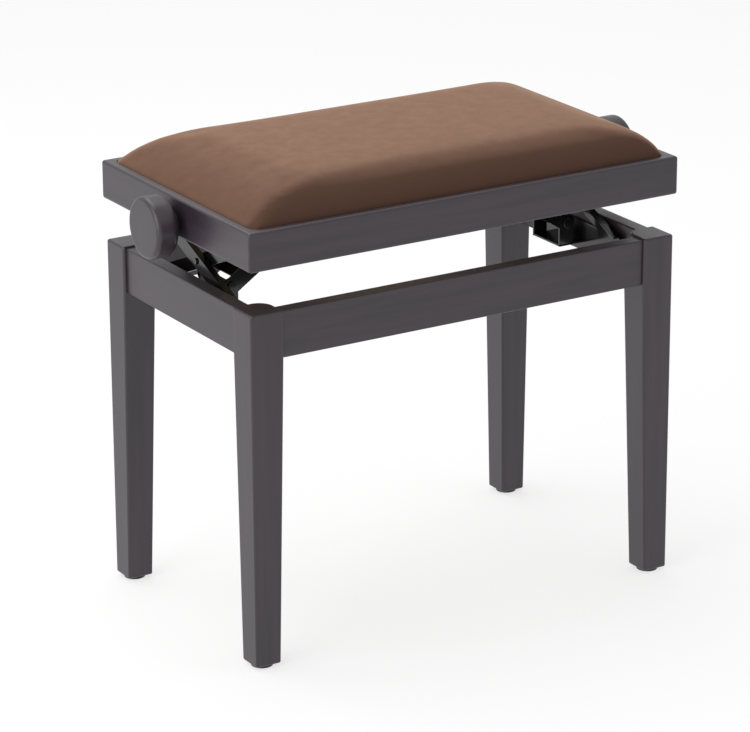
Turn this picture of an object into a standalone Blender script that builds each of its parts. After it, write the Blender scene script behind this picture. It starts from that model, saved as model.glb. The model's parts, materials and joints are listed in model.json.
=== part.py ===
"""Height-adjustable piano bench: leg frame, upholstered seat, and the spindle lift between them.

Run with: blender --background --python part.py
Units are metres, +Z is up, +X runs along the long side and -Y is the front.
The origin is on the floor, midway between the four legs.
"""

import math

import bmesh
import bpy
from mathutils import Vector

MM = 0.001

# Clearances
GAP = 0.3 * MM              # between pieces that touch
RUNNING = 0.15 * MM         # radial, round a pin that turns
SIDE_PLAY = 0.4 * MM        # between plates that slide past each other
CUTTER_OVERLAP = 2 * MM     # how far a helper solid runs past the face it cuts or joins
LEAST_RADIUS = 0.5 * MM

# Seat frame
SEAT_LENGTH = 552 * MM
SEAT_WIDTH = 333 * MM
SEAT_RAIL_HEIGHT = 43.9 * MM
SEAT_RAIL_THICKNESS = 20 * MM
SEAT_BORDER = 9 * MM        # rail top that shows round the cushion
SEAT_BOTTOM = 454 * MM      # underside of the seat frame at rest
SEAT_EDGE_RADIUS = 2.5 * MM
LIFT_DOWN = 46.5 * MM
LIFT_UP = 40 * MM

# Upholstery
BOARD_THICKNESS = 12 * MM
CUSHION_RISE = 36 * MM      # crown above the seat frame
CUSHION_CORNER = 14 * MM
CORNER_GROWTH = 0.35        # how much the plan corner opens as the side rolls in
COVER_THICKNESS = 1.3 * MM
CUSHION_ROLL = 30 * MM      # how far in the rounded side reaches
CUSHION_ROLL_SHARE = 0.83   # share of the rise that it makes
CUSHION_FLAT = 12 * MM      # half the width of the flat middle

# Corner blocks under the seat board
BLOCK_LEG = 44 * MM
BLOCK_HEIGHT = 12 * MM
SCREW_SPOT_SHARE = 0.3      # screw from the block's square corner, as a share of its leg
SCREW_BITE_SHARE = 0.7      # how far up the board the screw reaches

# Leg frame
SEAT_END_OVERHANG = 3 * MM     # seat frame past the legs, left and right
SEAT_FRONT_OVERHANG = 3 * MM
LEG_FRAME_LENGTH = SEAT_LENGTH - 2 * SEAT_END_OVERHANG
LEG_FRAME_WIDTH = SEAT_WIDTH - 2 * SEAT_FRONT_OVERHANG
LEG_TOP = 406.5 * MM
LEG_SIZE = 40 * MM
LEG_FOOT_SIZE = 31 * MM
LEG_EDGE_RADIUS = 2 * MM
LEG_FOOT_RADIUS = 3 * MM
LEG_BLEND_HEIGHT = 10 * MM   # where the inner corner grows to its full rounding
APRON_HEIGHT = 52.5 * MM
APRON_THICKNESS = 18 * MM
APRON_RECESS = 4 * MM       # behind the outer face of the legs
APRON_DROP = 2 * MM         # below the top of the legs
APRON_EDGE_RADIUS = 1.5 * MM
TENON_LENGTH = 15 * MM
TENON_THICKNESS = 8 * MM
TENON_SHOULDER = 6 * MM     # above and below each tenon
GLIDE_RADIUS = 12.5 * MM
GLIDE_HEIGHT = 3.3 * MM
GLIDE_EASE = 0.8 * MM
GLIDE_STEM_RADIUS = 2 * MM
GLIDE_STEM_LENGTH = 12 * MM

# Spindle and knobs
SPINDLE_RADIUS = 7 * MM
SPINDLE_RISE = 13 * MM      # axis above the underside of the seat frame
SPINDLE_TIP_EASE = 1 * MM
BUSH_WALL = 3 * MM
BUSH_FLANGE = 3 * MM
BUSH_FLANGE_THICKNESS = 2 * MM
COLLAR_RADIUS = 12 * MM
COLLAR_LENGTH = 9 * MM
KNOB_RADIUS = 35 * MM
KNOB_NECK_RADIUS = 19 * MM
KNOB_NECK_LENGTH = 5 * MM
KNOB_DEPTH = 36 * MM        # from the seat frame to the flat outer face
KNOB_STANDOFF = 0.6 * MM
KNOB_RIM_RADIUS = 4 * MM
KNOB_FLARE = 11 * MM        # rounded shoulder behind the straight rim
KNOB_BORE_DEPTH = 22 * MM

# Nuts and struts
NUT_LENGTH = 26 * MM
NUT_HEIGHT = 20 * MM
NUT_EDGE_RADIUS = 1 * MM
NUT_SHOULDER = 3 * MM       # each trunnion's shoulder, out from the block
TRUNNION_RADIUS = 4 * MM
TRUNNION_SHOULDER = 6.5 * MM
TRUNNION_PROUD = 1 * MM     # tip past the strut's flange
STRUT_LENGTH = 132 * MM     # lower pivot to nut, at rest
STRUT_WIDTH = 60 * MM
STRUT_HEIGHT = 20 * MM
STRUT_WALL = 2.2 * MM
STRUT_WEB_START = 4 * MM    # web from the round end at the pivot
STRUT_WEB_STOP = 6 * MM     # web short of the nut
STRUT_PIVOT_HEIGHT = 394 * MM
STRUT_PIN_RADIUS = 4 * MM
STRUT_PIN_HEAD = 2 * MM     # head past the pin, all round
STRUT_SLOT_PLAY = 1.1 * MM
STRUT_END_CLEARANCE = 1.1 * MM  # strut's round end to the inner arm's flange
PIN_HEAD_THICKNESS = 1.6 * MM

# Scissor arms
ARM_HEIGHT = 16 * MM
ARM_THICKNESS = 2.4 * MM
ARM_FLANGE = 5.6 * MM
ARM_FLANGE_START = 4 * MM   # flange from the round end
ARM_PIVOT_HEIGHT = 377.5 * MM
ARM_PIVOT_RISE = 7.5 * MM   # upper pivots above the underside of the seat frame
ARM_PIN_RADIUS = 3.5 * MM
ARM_TOP_PLAY = 1.05 * MM
ARM_TOP_SINK = 0.9 * MM     # the upper holes sit this far under the pins at rest
ARM_SLOT_PLAY = 0.4 * MM
ARM_LEG_CLEARANCE = 0.09 * MM   # arm end to the leg beside it, with the seat right down

# Brackets and screws
BRACKET_THICKNESS = 2.3 * MM
BRACKET_MARGIN = 2.3 * MM
LOWER_PLATE_BOTTOM = 366 * MM
LOWER_PLATE_HEIGHT = 23 * MM
UPPER_PLATE_HEIGHT = 18.5 * MM
LOWER_PLATE_CORNER = 4 * MM
UPPER_PLATE_CORNER = 3 * MM
BOSS_FOOT_RADIUS = 1 * MM
BOSS_TOP_RADIUS = 5 * MM
EAR_THICKNESS = 2.4 * MM
EAR_RADIUS = 9 * MM
SCREW_RADIUS = 1.9 * MM
SCREW_HEAD_RADIUS = 4 * MM
SCREW_HEAD_DEPTH = 2.1 * MM
SCREW_LENGTH = 15 * MM
SCREW_SPACING = 120 * MM
LOWER_SCREW_HEIGHT = 371 * MM
UPPER_SCREW_RISE = 11.6 * MM

# Worked out from the sizes above
SEAT_TOP = SEAT_BOTTOM + SEAT_RAIL_HEIGHT
RABBET_FLOOR = SEAT_TOP - BOARD_THICKNESS - GAP
SPINDLE_HEIGHT = SEAT_BOTTOM + SPINDLE_RISE
APRON_TOP = LEG_TOP - APRON_DROP
APRON_BOTTOM = APRON_TOP - APRON_HEIGHT
BUSH_RADIUS = SPINDLE_RADIUS + RUNNING + BUSH_WALL
SIDE_WALL = LEG_FRAME_LENGTH / 2 - APRON_RECESS - APRON_THICKNESS
SEAT_WALL = SEAT_LENGTH / 2 - SEAT_RAIL_THICKNESS

# Stations along X, from the side apron inwards
LOWER_PLATE_OUT = SIDE_WALL - GAP
LOWER_PLATE_IN = LOWER_PLATE_OUT - BRACKET_THICKNESS
OUTER_ARM_OUT = LOWER_PLATE_IN - SIDE_PLAY
OUTER_ARM_IN = OUTER_ARM_OUT - ARM_THICKNESS
OUTER_FLANGE_IN = OUTER_ARM_IN - ARM_FLANGE
INNER_ARM_OUT = OUTER_FLANGE_IN - SIDE_PLAY
INNER_ARM_IN = INNER_ARM_OUT - ARM_THICKNESS
INNER_FLANGE_IN = INNER_ARM_IN - ARM_FLANGE
UPPER_PLATE_OUT = SEAT_WALL - GAP
UPPER_PLATE_IN = UPPER_PLATE_OUT - BRACKET_THICKNESS
STRUT_PIVOT_X = INNER_FLANGE_IN - STRUT_END_CLEARANCE - STRUT_HEIGHT / 2

# Lift geometry
STRUT_RISE = SPINDLE_HEIGHT - STRUT_PIVOT_HEIGHT
STRUT_RUN = math.sqrt(STRUT_LENGTH ** 2 - STRUT_RISE ** 2)
STRUT_ANGLE = math.atan2(STRUT_RISE, STRUT_RUN)
NUT_X = STRUT_PIVOT_X - STRUT_RUN
NUT_RATIO = STRUT_RISE / STRUT_RUN
ARM_TOP = SEAT_BOTTOM + ARM_PIVOT_RISE
ARM_RISE = ARM_TOP - ARM_PIVOT_HEIGHT
LEG_INNER_FACE = LEG_FRAME_WIDTH / 2 - LEG_SIZE
SLIDER_LIMIT = LEG_INNER_FACE - ARM_HEIGHT / 2 - ARM_LEG_CLEARANCE
FOLD_TERM = ARM_RISE ** 2 - (ARM_RISE - LIFT_DOWN) ** 2
# Pivots to either side of the middle at rest, so that the sliding ends just clear the legs when folded
ARM_REACH = (SLIDER_LIMIT + math.sqrt(4 * SLIDER_LIMIT ** 2 - 3 * FOLD_TERM)) / 3
ARM_LENGTH = math.hypot(2 * ARM_REACH, ARM_RISE)
ARM_ANGLE = math.atan2(ARM_RISE, 2 * ARM_REACH)

SIDES = (("left", -1), ("right", 1))
ENDS = (("front", -1), ("back", 1))


# ---------------------------------------------------------------- helpers

def clear_scene():
    """Remove the objects of the startup scene."""
    for item in list(bpy.data.objects):
        bpy.data.objects.remove(item, do_unlink=True)


def material(name, colour, roughness, metallic=0.0):
    """Return the Principled material of this name, made on first use."""
    found = bpy.data.materials.get(name)
    if found:
        return found
    made = bpy.data.materials.new(name)
    made.use_nodes = True
    shader = made.node_tree.nodes["Principled BSDF"]
    shader.inputs["Base Color"].default_value = (*colour, 1.0)
    shader.inputs["Roughness"].default_value = roughness
    shader.inputs["Metallic"].default_value = metallic
    return made


def wood():
    return material("dark_wood", (0.075, 0.060, 0.066), 0.38)


def steel():
    return material("black_steel", (0.02, 0.02, 0.022), 0.30, 0.9)


def zinc():
    return material("zinc_screw", (0.55, 0.55, 0.57), 0.35, 1.0)


def place(name, shape, finish, origin=(0.0, 0.0, 0.0), smooth=None):
    """Turn a bmesh in world coordinates into a named object with this origin."""
    bmesh.ops.recalc_face_normals(shape, faces=shape.faces)
    bmesh.ops.translate(shape, verts=shape.verts, vec=-Vector(origin))
    mesh = bpy.data.meshes.new(name)
    shape.to_mesh(mesh)
    shape.free()
    if finish:
        mesh.materials.append(finish)
    if smooth:
        mesh.shade_smooth()
        mesh.set_sharp_from_angle(angle=math.radians(smooth))
    item = bpy.data.objects.new(name, mesh)
    item.location = origin
    bpy.context.scene.collection.objects.link(item)
    return item


def combine(target, shape, operation):
    """Cut, join or intersect a piece with a hidden helper solid."""
    helper = place(f"{target.name}_{operation.lower()}_{len(target.modifiers)}", shape, None)
    helper.hide_render = True
    helper.display_type = "WIRE"
    step = target.modifiers.new(helper.name, "BOOLEAN")
    step.operation = operation
    step.solver = "EXACT"
    step.object = helper


def block(low, high):
    """Box between two opposite corners."""
    shape = bmesh.new()
    bmesh.ops.create_cube(shape, size=1.0)
    for vert in shape.verts:
        for axis in range(3):
            vert.co[axis] = low[axis] if vert.co[axis] < 0 else high[axis]
    return shape


def eased_block(low, high, radius, segments=2):
    """Box with all its edges rounded."""
    shape = block(low, high)
    bmesh.ops.bevel(shape, geom=list(shape.edges), offset=radius, segments=segments,
                    profile=0.5, affect="EDGES")
    return shape


def slab(outline, axis, low, high):
    """Flat outline extruded along one axis; its points hold the other two axes in order."""
    shape = bmesh.new()
    rows = []
    for level in (low, high):
        row = []
        for first, second in outline:
            point = [first, second]
            point.insert(axis, level)
            row.append(shape.verts.new(point))
        rows.append(row)
    count = len(outline)
    for i in range(count):
        j = (i + 1) % count
        shape.faces.new((rows[0][i], rows[0][j], rows[1][j], rows[1][i]))
    shape.faces.new(rows[0])
    shape.faces.new(rows[1])
    return shape


def turned(profile, centre, axis, segments=20):
    """Solid of revolution; the profile is a list of (distance along the axis, radius)."""
    shape = bmesh.new()
    first, second = [i for i in range(3) if i != axis]
    rings = []
    for along, radius in profile:
        ring = []
        steps = segments if radius > 0 else 1
        for k in range(steps):
            angle = 2 * math.pi * (k + 0.5) / segments
            point = list(centre)
            point[axis] = along
            point[first] += radius * math.cos(angle)
            point[second] += radius * math.sin(angle)
            ring.append(shape.verts.new(point))
        rings.append(ring)
    for lower, upper in zip(rings, rings[1:]):
        for k in range(segments):
            a = lower[k % len(lower)]
            b = lower[(k + 1) % len(lower)]
            c = upper[(k + 1) % len(upper)]
            d = upper[k % len(upper)]
            corners = [v for i, v in enumerate((a, b, c, d)) if v not in (a, b, c, d)[:i]]
            if len(corners) > 2:
                shape.faces.new(corners)
    return shape


def rod(centre, axis, low, high, radius, segments=20):
    """Plain cylinder between two stations on an axis."""
    return turned([(low, 0), (low, radius), (high, radius), (high, 0)], centre, axis, segments)


def loft(rings):
    """Closed solid through rings of equal count, flat at both ends."""
    shape = bmesh.new()
    rows = [[shape.verts.new(point) for point in ring] for ring in rings]
    count = len(rows[0])
    for lower, upper in zip(rows, rows[1:]):
        for i in range(count):
            j = (i + 1) % count
            shape.faces.new((lower[i], lower[j], upper[j], upper[i]))
    shape.faces.new(rows[0])
    shape.faces.new(rows[-1])
    return shape


def arc(centre, radius, start, turn, steps):
    """Points along an arc, in degrees, both ends included."""
    points = []
    for k in range(steps + 1):
        angle = math.radians(start + turn * k / steps)
        points.append((centre[0] + radius * math.cos(angle), centre[1] + radius * math.sin(angle)))
    return points


def rounded_rectangle(low, high, radii, steps=4):
    """Outline of a rectangle; radii run anticlockwise from the low corner."""
    corners = ((low[0], low[1], 1, 1, 180), (high[0], low[1], -1, 1, 270),
               (high[0], high[1], -1, -1, 0), (low[0], high[1], 1, -1, 90))
    points = []
    for (x, y, step_x, step_y, start), radius in zip(corners, radii):
        centre = (x + step_x * radius, y + step_y * radius)
        points += arc(centre, radius, start, 90, steps)
    return points


def stadium(start, end, radius, steps=8):
    """Outline of a bar with round ends between two points."""
    heading = math.degrees(math.atan2(end[1] - start[1], end[0] - start[0]))
    return arc(end, radius, heading - 90, 180, steps) + arc(start, radius, heading + 90, 180, steps)


def along(start, angle, distance, rise=0.0):
    """Point at a distance along a line at this angle, moved off it by a rise."""
    return (start[0] + distance * math.cos(angle) - rise * math.sin(angle),
            start[1] + distance * math.sin(angle) + rise * math.cos(angle))


def span(sign, inner, outer):
    """Low and high X between two stations on one side."""
    return tuple(sorted((sign * inner, sign * outer)))


# ---------------------------------------------------------------- leg frame

def leg_rings():
    """Levels of one leg as (height, size, inner corner radius, inset), bottom to top."""
    foot = GLIDE_HEIGHT + GAP
    slope = (LEG_SIZE - LEG_FOOT_SIZE) / (APRON_BOTTOM - foot)
    inner = LEG_SIZE - APRON_RECESS - APRON_THICKNESS
    rings = []
    for k in range(3):
        turn = math.radians(45 * k)
        height = foot + LEG_FOOT_RADIUS * (1 - math.cos(turn))
        size = LEG_FOOT_SIZE + slope * (height - foot)
        rings.append((height, size, LEG_FOOT_RADIUS, LEG_FOOT_RADIUS * (1 - math.sin(turn))))
    rings.append((APRON_BOTTOM, LEG_SIZE, LEG_FOOT_RADIUS, 0.0))
    rings.append((APRON_BOTTOM + LEG_BLEND_HEIGHT / 2, LEG_SIZE, (LEG_FOOT_RADIUS + inner) / 2, 0.0))
    rings.append((APRON_BOTTOM + LEG_BLEND_HEIGHT, LEG_SIZE, inner, 0.0))
    for k in range(3):
        turn = math.radians(45 * k)
        height = LEG_TOP - LEG_EDGE_RADIUS * (1 - math.sin(turn))
        rings.append((height, LEG_SIZE, inner, LEG_EDGE_RADIUS * (1 - math.cos(turn))))
    return rings


def tenon_box(sign_x, sign_y, runs_along_x, clearance):
    """Tenon of an apron inside a leg, or its mortise when there is a clearance."""
    middle = APRON_RECESS + APRON_THICKNESS / 2
    half = TENON_THICKNESS / 2 + clearance
    reach = (LEG_SIZE - TENON_LENGTH - clearance, LEG_SIZE + CUTTER_OVERLAP)
    across = (middle - half, middle + half)
    from_x, from_y = (reach, across) if runs_along_x else (across, reach)
    xs = sorted(sign_x * (LEG_FRAME_LENGTH / 2 - value) for value in from_x)
    ys = sorted(sign_y * (LEG_FRAME_WIDTH / 2 - value) for value in from_y)
    low = APRON_BOTTOM + TENON_SHOULDER - clearance
    high = APRON_TOP - TENON_SHOULDER + clearance
    return block((xs[0], ys[0], low), (xs[1], ys[1], high))


def make_leg(name, sign_x, sign_y):
    """Square leg, tapered on its two inner faces, mortised for two aprons."""
    rings = []
    for height, size, inner, inset in leg_rings():
        edge = max(LEG_EDGE_RADIUS - inset, LEAST_RADIUS)
        radii = (edge, edge, max(inner - inset, LEAST_RADIUS), edge)
        outline = rounded_rectangle((inset, inset), (size - inset, size - inset), radii, 4)
        rings.append([(sign_x * (LEG_FRAME_LENGTH / 2 - x), sign_y * (LEG_FRAME_WIDTH / 2 - y), height)
                      for x, y in outline])
    leg = place(f"leg_{name}", loft(rings), wood(), smooth=40)
    for runs_along_x in (True, False):
        combine(leg, tenon_box(sign_x, sign_y, runs_along_x, GAP), "DIFFERENCE")
    combine(leg, rod(foot_centre(sign_x, sign_y), 2, 0, GLIDE_HEIGHT + GLIDE_STEM_LENGTH + GAP,
                     GLIDE_STEM_RADIUS + GAP, 12), "DIFFERENCE")


def foot_centre(sign_x, sign_y):
    """Middle of a leg's foot, at floor level."""
    return (sign_x * (LEG_FRAME_LENGTH - LEG_FOOT_SIZE) / 2,
            sign_y * (LEG_FRAME_WIDTH - LEG_FOOT_SIZE) / 2, 0.0)


def make_glide(name, sign_x, sign_y):
    """Round nylon glide with a stem pressed into the foot."""
    stem_top = GLIDE_HEIGHT + GLIDE_STEM_LENGTH
    profile = [(0, 0), (0, GLIDE_RADIUS - GLIDE_EASE), (GLIDE_EASE, GLIDE_RADIUS),
               (GLIDE_HEIGHT, GLIDE_RADIUS), (GLIDE_HEIGHT, GLIDE_STEM_RADIUS),
               (stem_top, GLIDE_STEM_RADIUS), (stem_top, 0)]
    nylon = material("black_nylon", (0.012, 0.012, 0.012), 0.5)
    place(f"glide_{name}", turned(profile, foot_centre(sign_x, sign_y), 2, 16), nylon, smooth=40)


def make_apron(name, runs_along_x, sign):
    """Apron rail with a tenon at each end."""
    frame = LEG_FRAME_LENGTH if runs_along_x else LEG_FRAME_WIDTH
    depth = LEG_FRAME_WIDTH if runs_along_x else LEG_FRAME_LENGTH
    half = frame / 2 - LEG_SIZE - GAP
    face = sorted((sign * (depth / 2 - APRON_RECESS), sign * (depth / 2 - APRON_RECESS - APRON_THICKNESS)))
    low = (-half, face[0], APRON_BOTTOM) if runs_along_x else (face[0], -half, APRON_BOTTOM)
    high = (half, face[1], APRON_TOP) if runs_along_x else (face[1], half, APRON_TOP)
    apron = place(f"apron_{name}", eased_block(low, high, APRON_EDGE_RADIUS), wood(), smooth=40)
    for end in (-1, 1):
        signs = (end, sign) if runs_along_x else (sign, end)
        combine(apron, tenon_box(*signs, runs_along_x, 0.0), "UNION")
    if not runs_along_x:
        for end in (-1, 1):
            combine(apron, screw_shape(LOWER_PLATE_IN, sign, end, LOWER_SCREW_HEIGHT, GAP), "DIFFERENCE")


def screw_shape(face, sign, end, height, clearance):
    """Countersunk screw driven outwards along X, or its hole when there is a clearance."""
    centre = (0.0, end * SCREW_SPACING / 2, height)
    head = SCREW_HEAD_RADIUS + clearance
    shank = SCREW_RADIUS + clearance
    start = face + GAP - clearance
    profile = [(start, 0), (start, head), (start + SCREW_HEAD_DEPTH, shank),
               (face + SCREW_LENGTH + clearance, shank), (face + SCREW_LENGTH + clearance, 0)]
    return turned([(sign * x, r) for x, r in profile], centre, 0, 12)


def make_screws(prefix, face, sign, side, height):
    """The two screws of one bracket."""
    for name, end in ENDS:
        place(f"{prefix}_screw_{side}_{name}", screw_shape(face, sign, end, height, 0.0), zinc(), smooth=30)


def slider_reach(lift):
    """Y of a sliding arm end at this lift, with the other end at -ARM_REACH."""
    return math.sqrt(ARM_LENGTH ** 2 - (ARM_RISE + lift) ** 2) - ARM_REACH


def make_lower_bracket(side, sign):
    """Steel plate on the side apron: arm pivot, arm slot, and two ears for the strut."""
    top = LOWER_PLATE_BOTTOM + LOWER_PLATE_HEIGHT
    far = LEG_INNER_FACE - GAP
    xs = span(sign, LOWER_PLATE_IN, LOWER_PLATE_OUT)
    outline = rounded_rectangle((-far, LOWER_PLATE_BOTTOM), (far, top), (LOWER_PLATE_CORNER,) * 4)
    bracket = place(f"lower_bracket_{side}", slab(outline, 0, *xs), steel(), smooth=30)
    ear_out = STRUT_WIDTH / 2 - STRUT_WALL - SIDE_PLAY
    tongue_x = span(sign, STRUT_PIVOT_X - EAR_RADIUS, LOWER_PLATE_OUT)
    tongue = block((tongue_x[0], -ear_out, LOWER_PLATE_BOTTOM),
                   (tongue_x[1], ear_out, LOWER_PLATE_BOTTOM + EAR_THICKNESS))
    combine(bracket, tongue, "UNION")
    pivot = (sign * STRUT_PIVOT_X, STRUT_PIVOT_HEIGHT)
    ear = arc(pivot, EAR_RADIUS, 0, 180, 8)
    ear += [(pivot[0] - EAR_RADIUS, LOWER_PLATE_BOTTOM), (pivot[0] + EAR_RADIUS, LOWER_PLATE_BOTTOM)]
    for _, end in ENDS:
        ys = sorted((end * ear_out, end * (ear_out - EAR_THICKNESS)))
        combine(bracket, slab(ear, 1, *ys), "UNION")
    combine(bracket, rod((pivot[0], 0, pivot[1]), 1, -STRUT_WIDTH, STRUT_WIDTH,
                         STRUT_PIN_RADIUS + GAP), "DIFFERENCE")
    cut = span(sign, LOWER_PLATE_IN - GAP, LOWER_PLATE_OUT + GAP)
    hole = rod((0, -ARM_REACH, ARM_PIVOT_HEIGHT), 0, *cut, ARM_PIN_RADIUS + GAP)
    combine(bracket, hole, "DIFFERENCE")
    slot = stadium((slider_reach(LIFT_UP) - ARM_SLOT_PLAY, ARM_PIVOT_HEIGHT),
                   (slider_reach(-LIFT_DOWN) + ARM_SLOT_PLAY, ARM_PIVOT_HEIGHT),
                   ARM_PIN_RADIUS + ARM_SLOT_PLAY)
    combine(bracket, slab(slot, 0, *cut), "DIFFERENCE")
    for _, end in ENDS:
        combine(bracket, screw_shape(LOWER_PLATE_IN, sign, end, LOWER_SCREW_HEIGHT, GAP), "DIFFERENCE")


def make_arm_pin(side, sign):
    """Headed pin on which the outer scissor arm turns."""
    head = ARM_HEIGHT / 2 - ARM_THICKNESS - GAP
    under_head = OUTER_ARM_IN - GAP
    tip = under_head - PIN_HEAD_THICKNESS
    profile = [(LOWER_PLATE_OUT - GAP, 0), (LOWER_PLATE_OUT - GAP, ARM_PIN_RADIUS),
               (under_head, ARM_PIN_RADIUS), (under_head, head), (tip, head), (tip, 0)]
    shape = turned([(sign * x, r) for x, r in profile], (0, -ARM_REACH, ARM_PIVOT_HEIGHT), 0)
    place(f"arm_pivot_pin_{side}", shape, steel(), smooth=30)


def make_strut_pin(side, sign):
    """Pin with two flat heads through the bracket ears and the strut."""
    reach = STRUT_WIDTH / 2 + SIDE_PLAY
    head = STRUT_PIN_RADIUS + STRUT_PIN_HEAD
    tip = reach + PIN_HEAD_THICKNESS
    profile = [(-tip, 0), (-tip, head), (-reach, head), (-reach, STRUT_PIN_RADIUS),
               (reach, STRUT_PIN_RADIUS), (reach, head), (tip, head), (tip, 0)]
    centre = (sign * STRUT_PIVOT_X, 0, STRUT_PIVOT_HEIGHT)
    place(f"strut_pin_{side}", turned(profile, centre, 1), steel(), smooth=30)


def make_leg_frame():
    for end_name, sign_y in ENDS:
        for side, sign_x in SIDES:
            make_leg(f"{end_name}_{side}", sign_x, sign_y)
            make_glide(f"{end_name}_{side}", sign_x, sign_y)
        make_apron(end_name, True, sign_y)
    for side, sign in SIDES:
        make_apron(side, False, sign)
        make_lower_bracket(side, sign)
        make_screws("lower", LOWER_PLATE_IN, sign, side, LOWER_SCREW_HEIGHT)
        make_arm_pin(side, sign)
        make_strut_pin(side, sign)


# ---------------------------------------------------------------- seat

def mitred_bar(runs_along_x, sign, width, low, high):
    """Bar along one side of the seat, its ends cut at 45 degrees, half a gap short of the mitre."""
    long_half = (SEAT_LENGTH if runs_along_x else SEAT_WIDTH) / 2
    face = (SEAT_WIDTH if runs_along_x else SEAT_LENGTH) / 2
    back = GAP / 2 * math.sqrt(2)
    over = CUTTER_OVERLAP
    points = [(-long_half - over + back, face + over), (long_half + over - back, face + over),
              (long_half - width - back, face - width), (-long_half + width + back, face - width)]
    points = [(a, sign * b) for a, b in points]
    if not runs_along_x:
        points = [(b, a) for a, b in points]
    return slab(points, 2, low, high)


def make_seat_rail(name, runs_along_x, sign):
    """Mitred rail, rounded outside, with a rabbet that carries the seat board."""
    over = CUTTER_OVERLAP
    bar = mitred_bar(runs_along_x, sign, SEAT_RAIL_THICKNESS, SEAT_BOTTOM - over, SEAT_TOP + over)
    rail = place(f"seat_rail_{name}", bar, wood(), smooth=40)
    body = eased_block((-SEAT_LENGTH / 2, -SEAT_WIDTH / 2, SEAT_BOTTOM),
                       (SEAT_LENGTH / 2, SEAT_WIDTH / 2, SEAT_TOP), SEAT_EDGE_RADIUS)
    combine(rail, body, "INTERSECT")
    half = (SEAT_LENGTH / 2 - SEAT_BORDER, SEAT_WIDTH / 2 - SEAT_BORDER)
    rabbet = slab(rounded_rectangle((-half[0], -half[1]), half, (CUSHION_CORNER,) * 4),
                  2, RABBET_FLOOR, SEAT_TOP + over)
    combine(rail, rabbet, "DIFFERENCE")
    if not runs_along_x:
        bore = rod((0, 0, SPINDLE_HEIGHT), 0, *span(sign, SEAT_WALL - over, SEAT_LENGTH / 2 + over),
                   BUSH_RADIUS + GAP)
        combine(rail, bore, "DIFFERENCE")
        for _, end in ENDS:
            hole = screw_shape(UPPER_PLATE_IN, sign, end, SEAT_BOTTOM + UPPER_SCREW_RISE, GAP)
            combine(rail, hole, "DIFFERENCE")


def cover_outline(inset):
    """Rounded rectangle of the cushion's side, inset from its widest line."""
    half_x = SEAT_LENGTH / 2 - SEAT_BORDER - GAP - inset
    half_y = SEAT_WIDTH / 2 - SEAT_BORDER - GAP - inset
    radius = min(CUSHION_CORNER - GAP + CORNER_GROWTH * inset, half_y - LEAST_RADIUS)
    return rounded_rectangle((-half_x, -half_y), (half_x, half_y), (radius,) * 4, 4)


def cushion_levels(inset, drop):
    """Inset and height of each level of the crowned cushion, from its edge to the crown."""
    roll = CUSHION_ROLL
    roll_rise = CUSHION_ROLL_SHARE * CUSHION_RISE
    levels = []
    for k in range(6):
        turn = math.radians(18 * k)
        levels.append((roll * (1 - math.cos(turn)), roll_rise * math.sin(turn)))
    for k in range(1, 5):
        share = k / 4
        reach = SEAT_WIDTH / 2 - SEAT_BORDER - roll - CUSHION_FLAT
        rise = roll_rise + (CUSHION_RISE - roll_rise) * math.sin(share * math.pi / 2)
        levels.append((roll + reach * share, rise))
    return [(distance + inset, SEAT_TOP + rise - drop) for distance, rise in levels]


def screw_spot(sign_x, sign_y):
    """Where the seat board is screwed to a corner block."""
    inset = BLOCK_LEG * SCREW_SPOT_SHARE
    return (sign_x * (SEAT_WALL - inset), sign_y * (SEAT_WIDTH / 2 - SEAT_RAIL_THICKNESS - inset), 0.0)


def board_screw(sign_x, sign_y, clearance):
    """Screw up through a corner block into the board, or its hole."""
    base = RABBET_FLOOR - BLOCK_HEIGHT
    shank = SCREW_RADIUS + clearance
    head = SCREW_HEAD_RADIUS + clearance
    top = RABBET_FLOOR + BOARD_THICKNESS * SCREW_BITE_SHARE + clearance
    start = base + GAP - clearance
    profile = [(start, 0), (start, head), (start + SCREW_HEAD_DEPTH, shank), (top, shank), (top, 0)]
    return turned(profile, screw_spot(sign_x, sign_y), 2, 12)


def make_upholstery():
    """Seat board, foam pad and the velvet cover that wraps both."""
    inset = COVER_THICKNESS + GAP
    board_outline = cover_outline(inset)
    ply = material("plywood", (0.55, 0.40, 0.25), 0.7)
    board = place("seat_board", slab(board_outline, 2, RABBET_FLOOR + GAP, SEAT_TOP), ply, smooth=40)
    for _, sign_y in ENDS:
        for _, sign_x in SIDES:
            combine(board, board_screw(sign_x, sign_y, GAP), "DIFFERENCE")
    under = inset + GAP
    foam_levels = cushion_levels(under, under)
    foam_levels[0] = (under, SEAT_TOP + GAP)
    foam_rings = [[(x, y, z) for x, y in cover_outline(step)] for step, z in foam_levels]
    foam = material("foam", (0.75, 0.70, 0.55), 0.9)
    place("foam_pad", loft(foam_rings), foam, smooth=40)
    outer = [(0.0, RABBET_FLOOR + GAP)] + cushion_levels(0.0, 0.0)
    outer_rings = [[(x, y, z) for x, y in cover_outline(step)] for step, z in outer]
    velvet = material("brown_velvet", (0.19, 0.12, 0.07), 0.95)
    cover = place("velvet_cover", loft(outer_rings), velvet, smooth=40)
    hollow = [(COVER_THICKNESS, RABBET_FLOOR)] + cushion_levels(COVER_THICKNESS, COVER_THICKNESS)
    hollow_rings = [[(x, y, z) for x, y in cover_outline(step)] for step, z in hollow]
    combine(cover, loft(hollow_rings), "DIFFERENCE")


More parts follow.
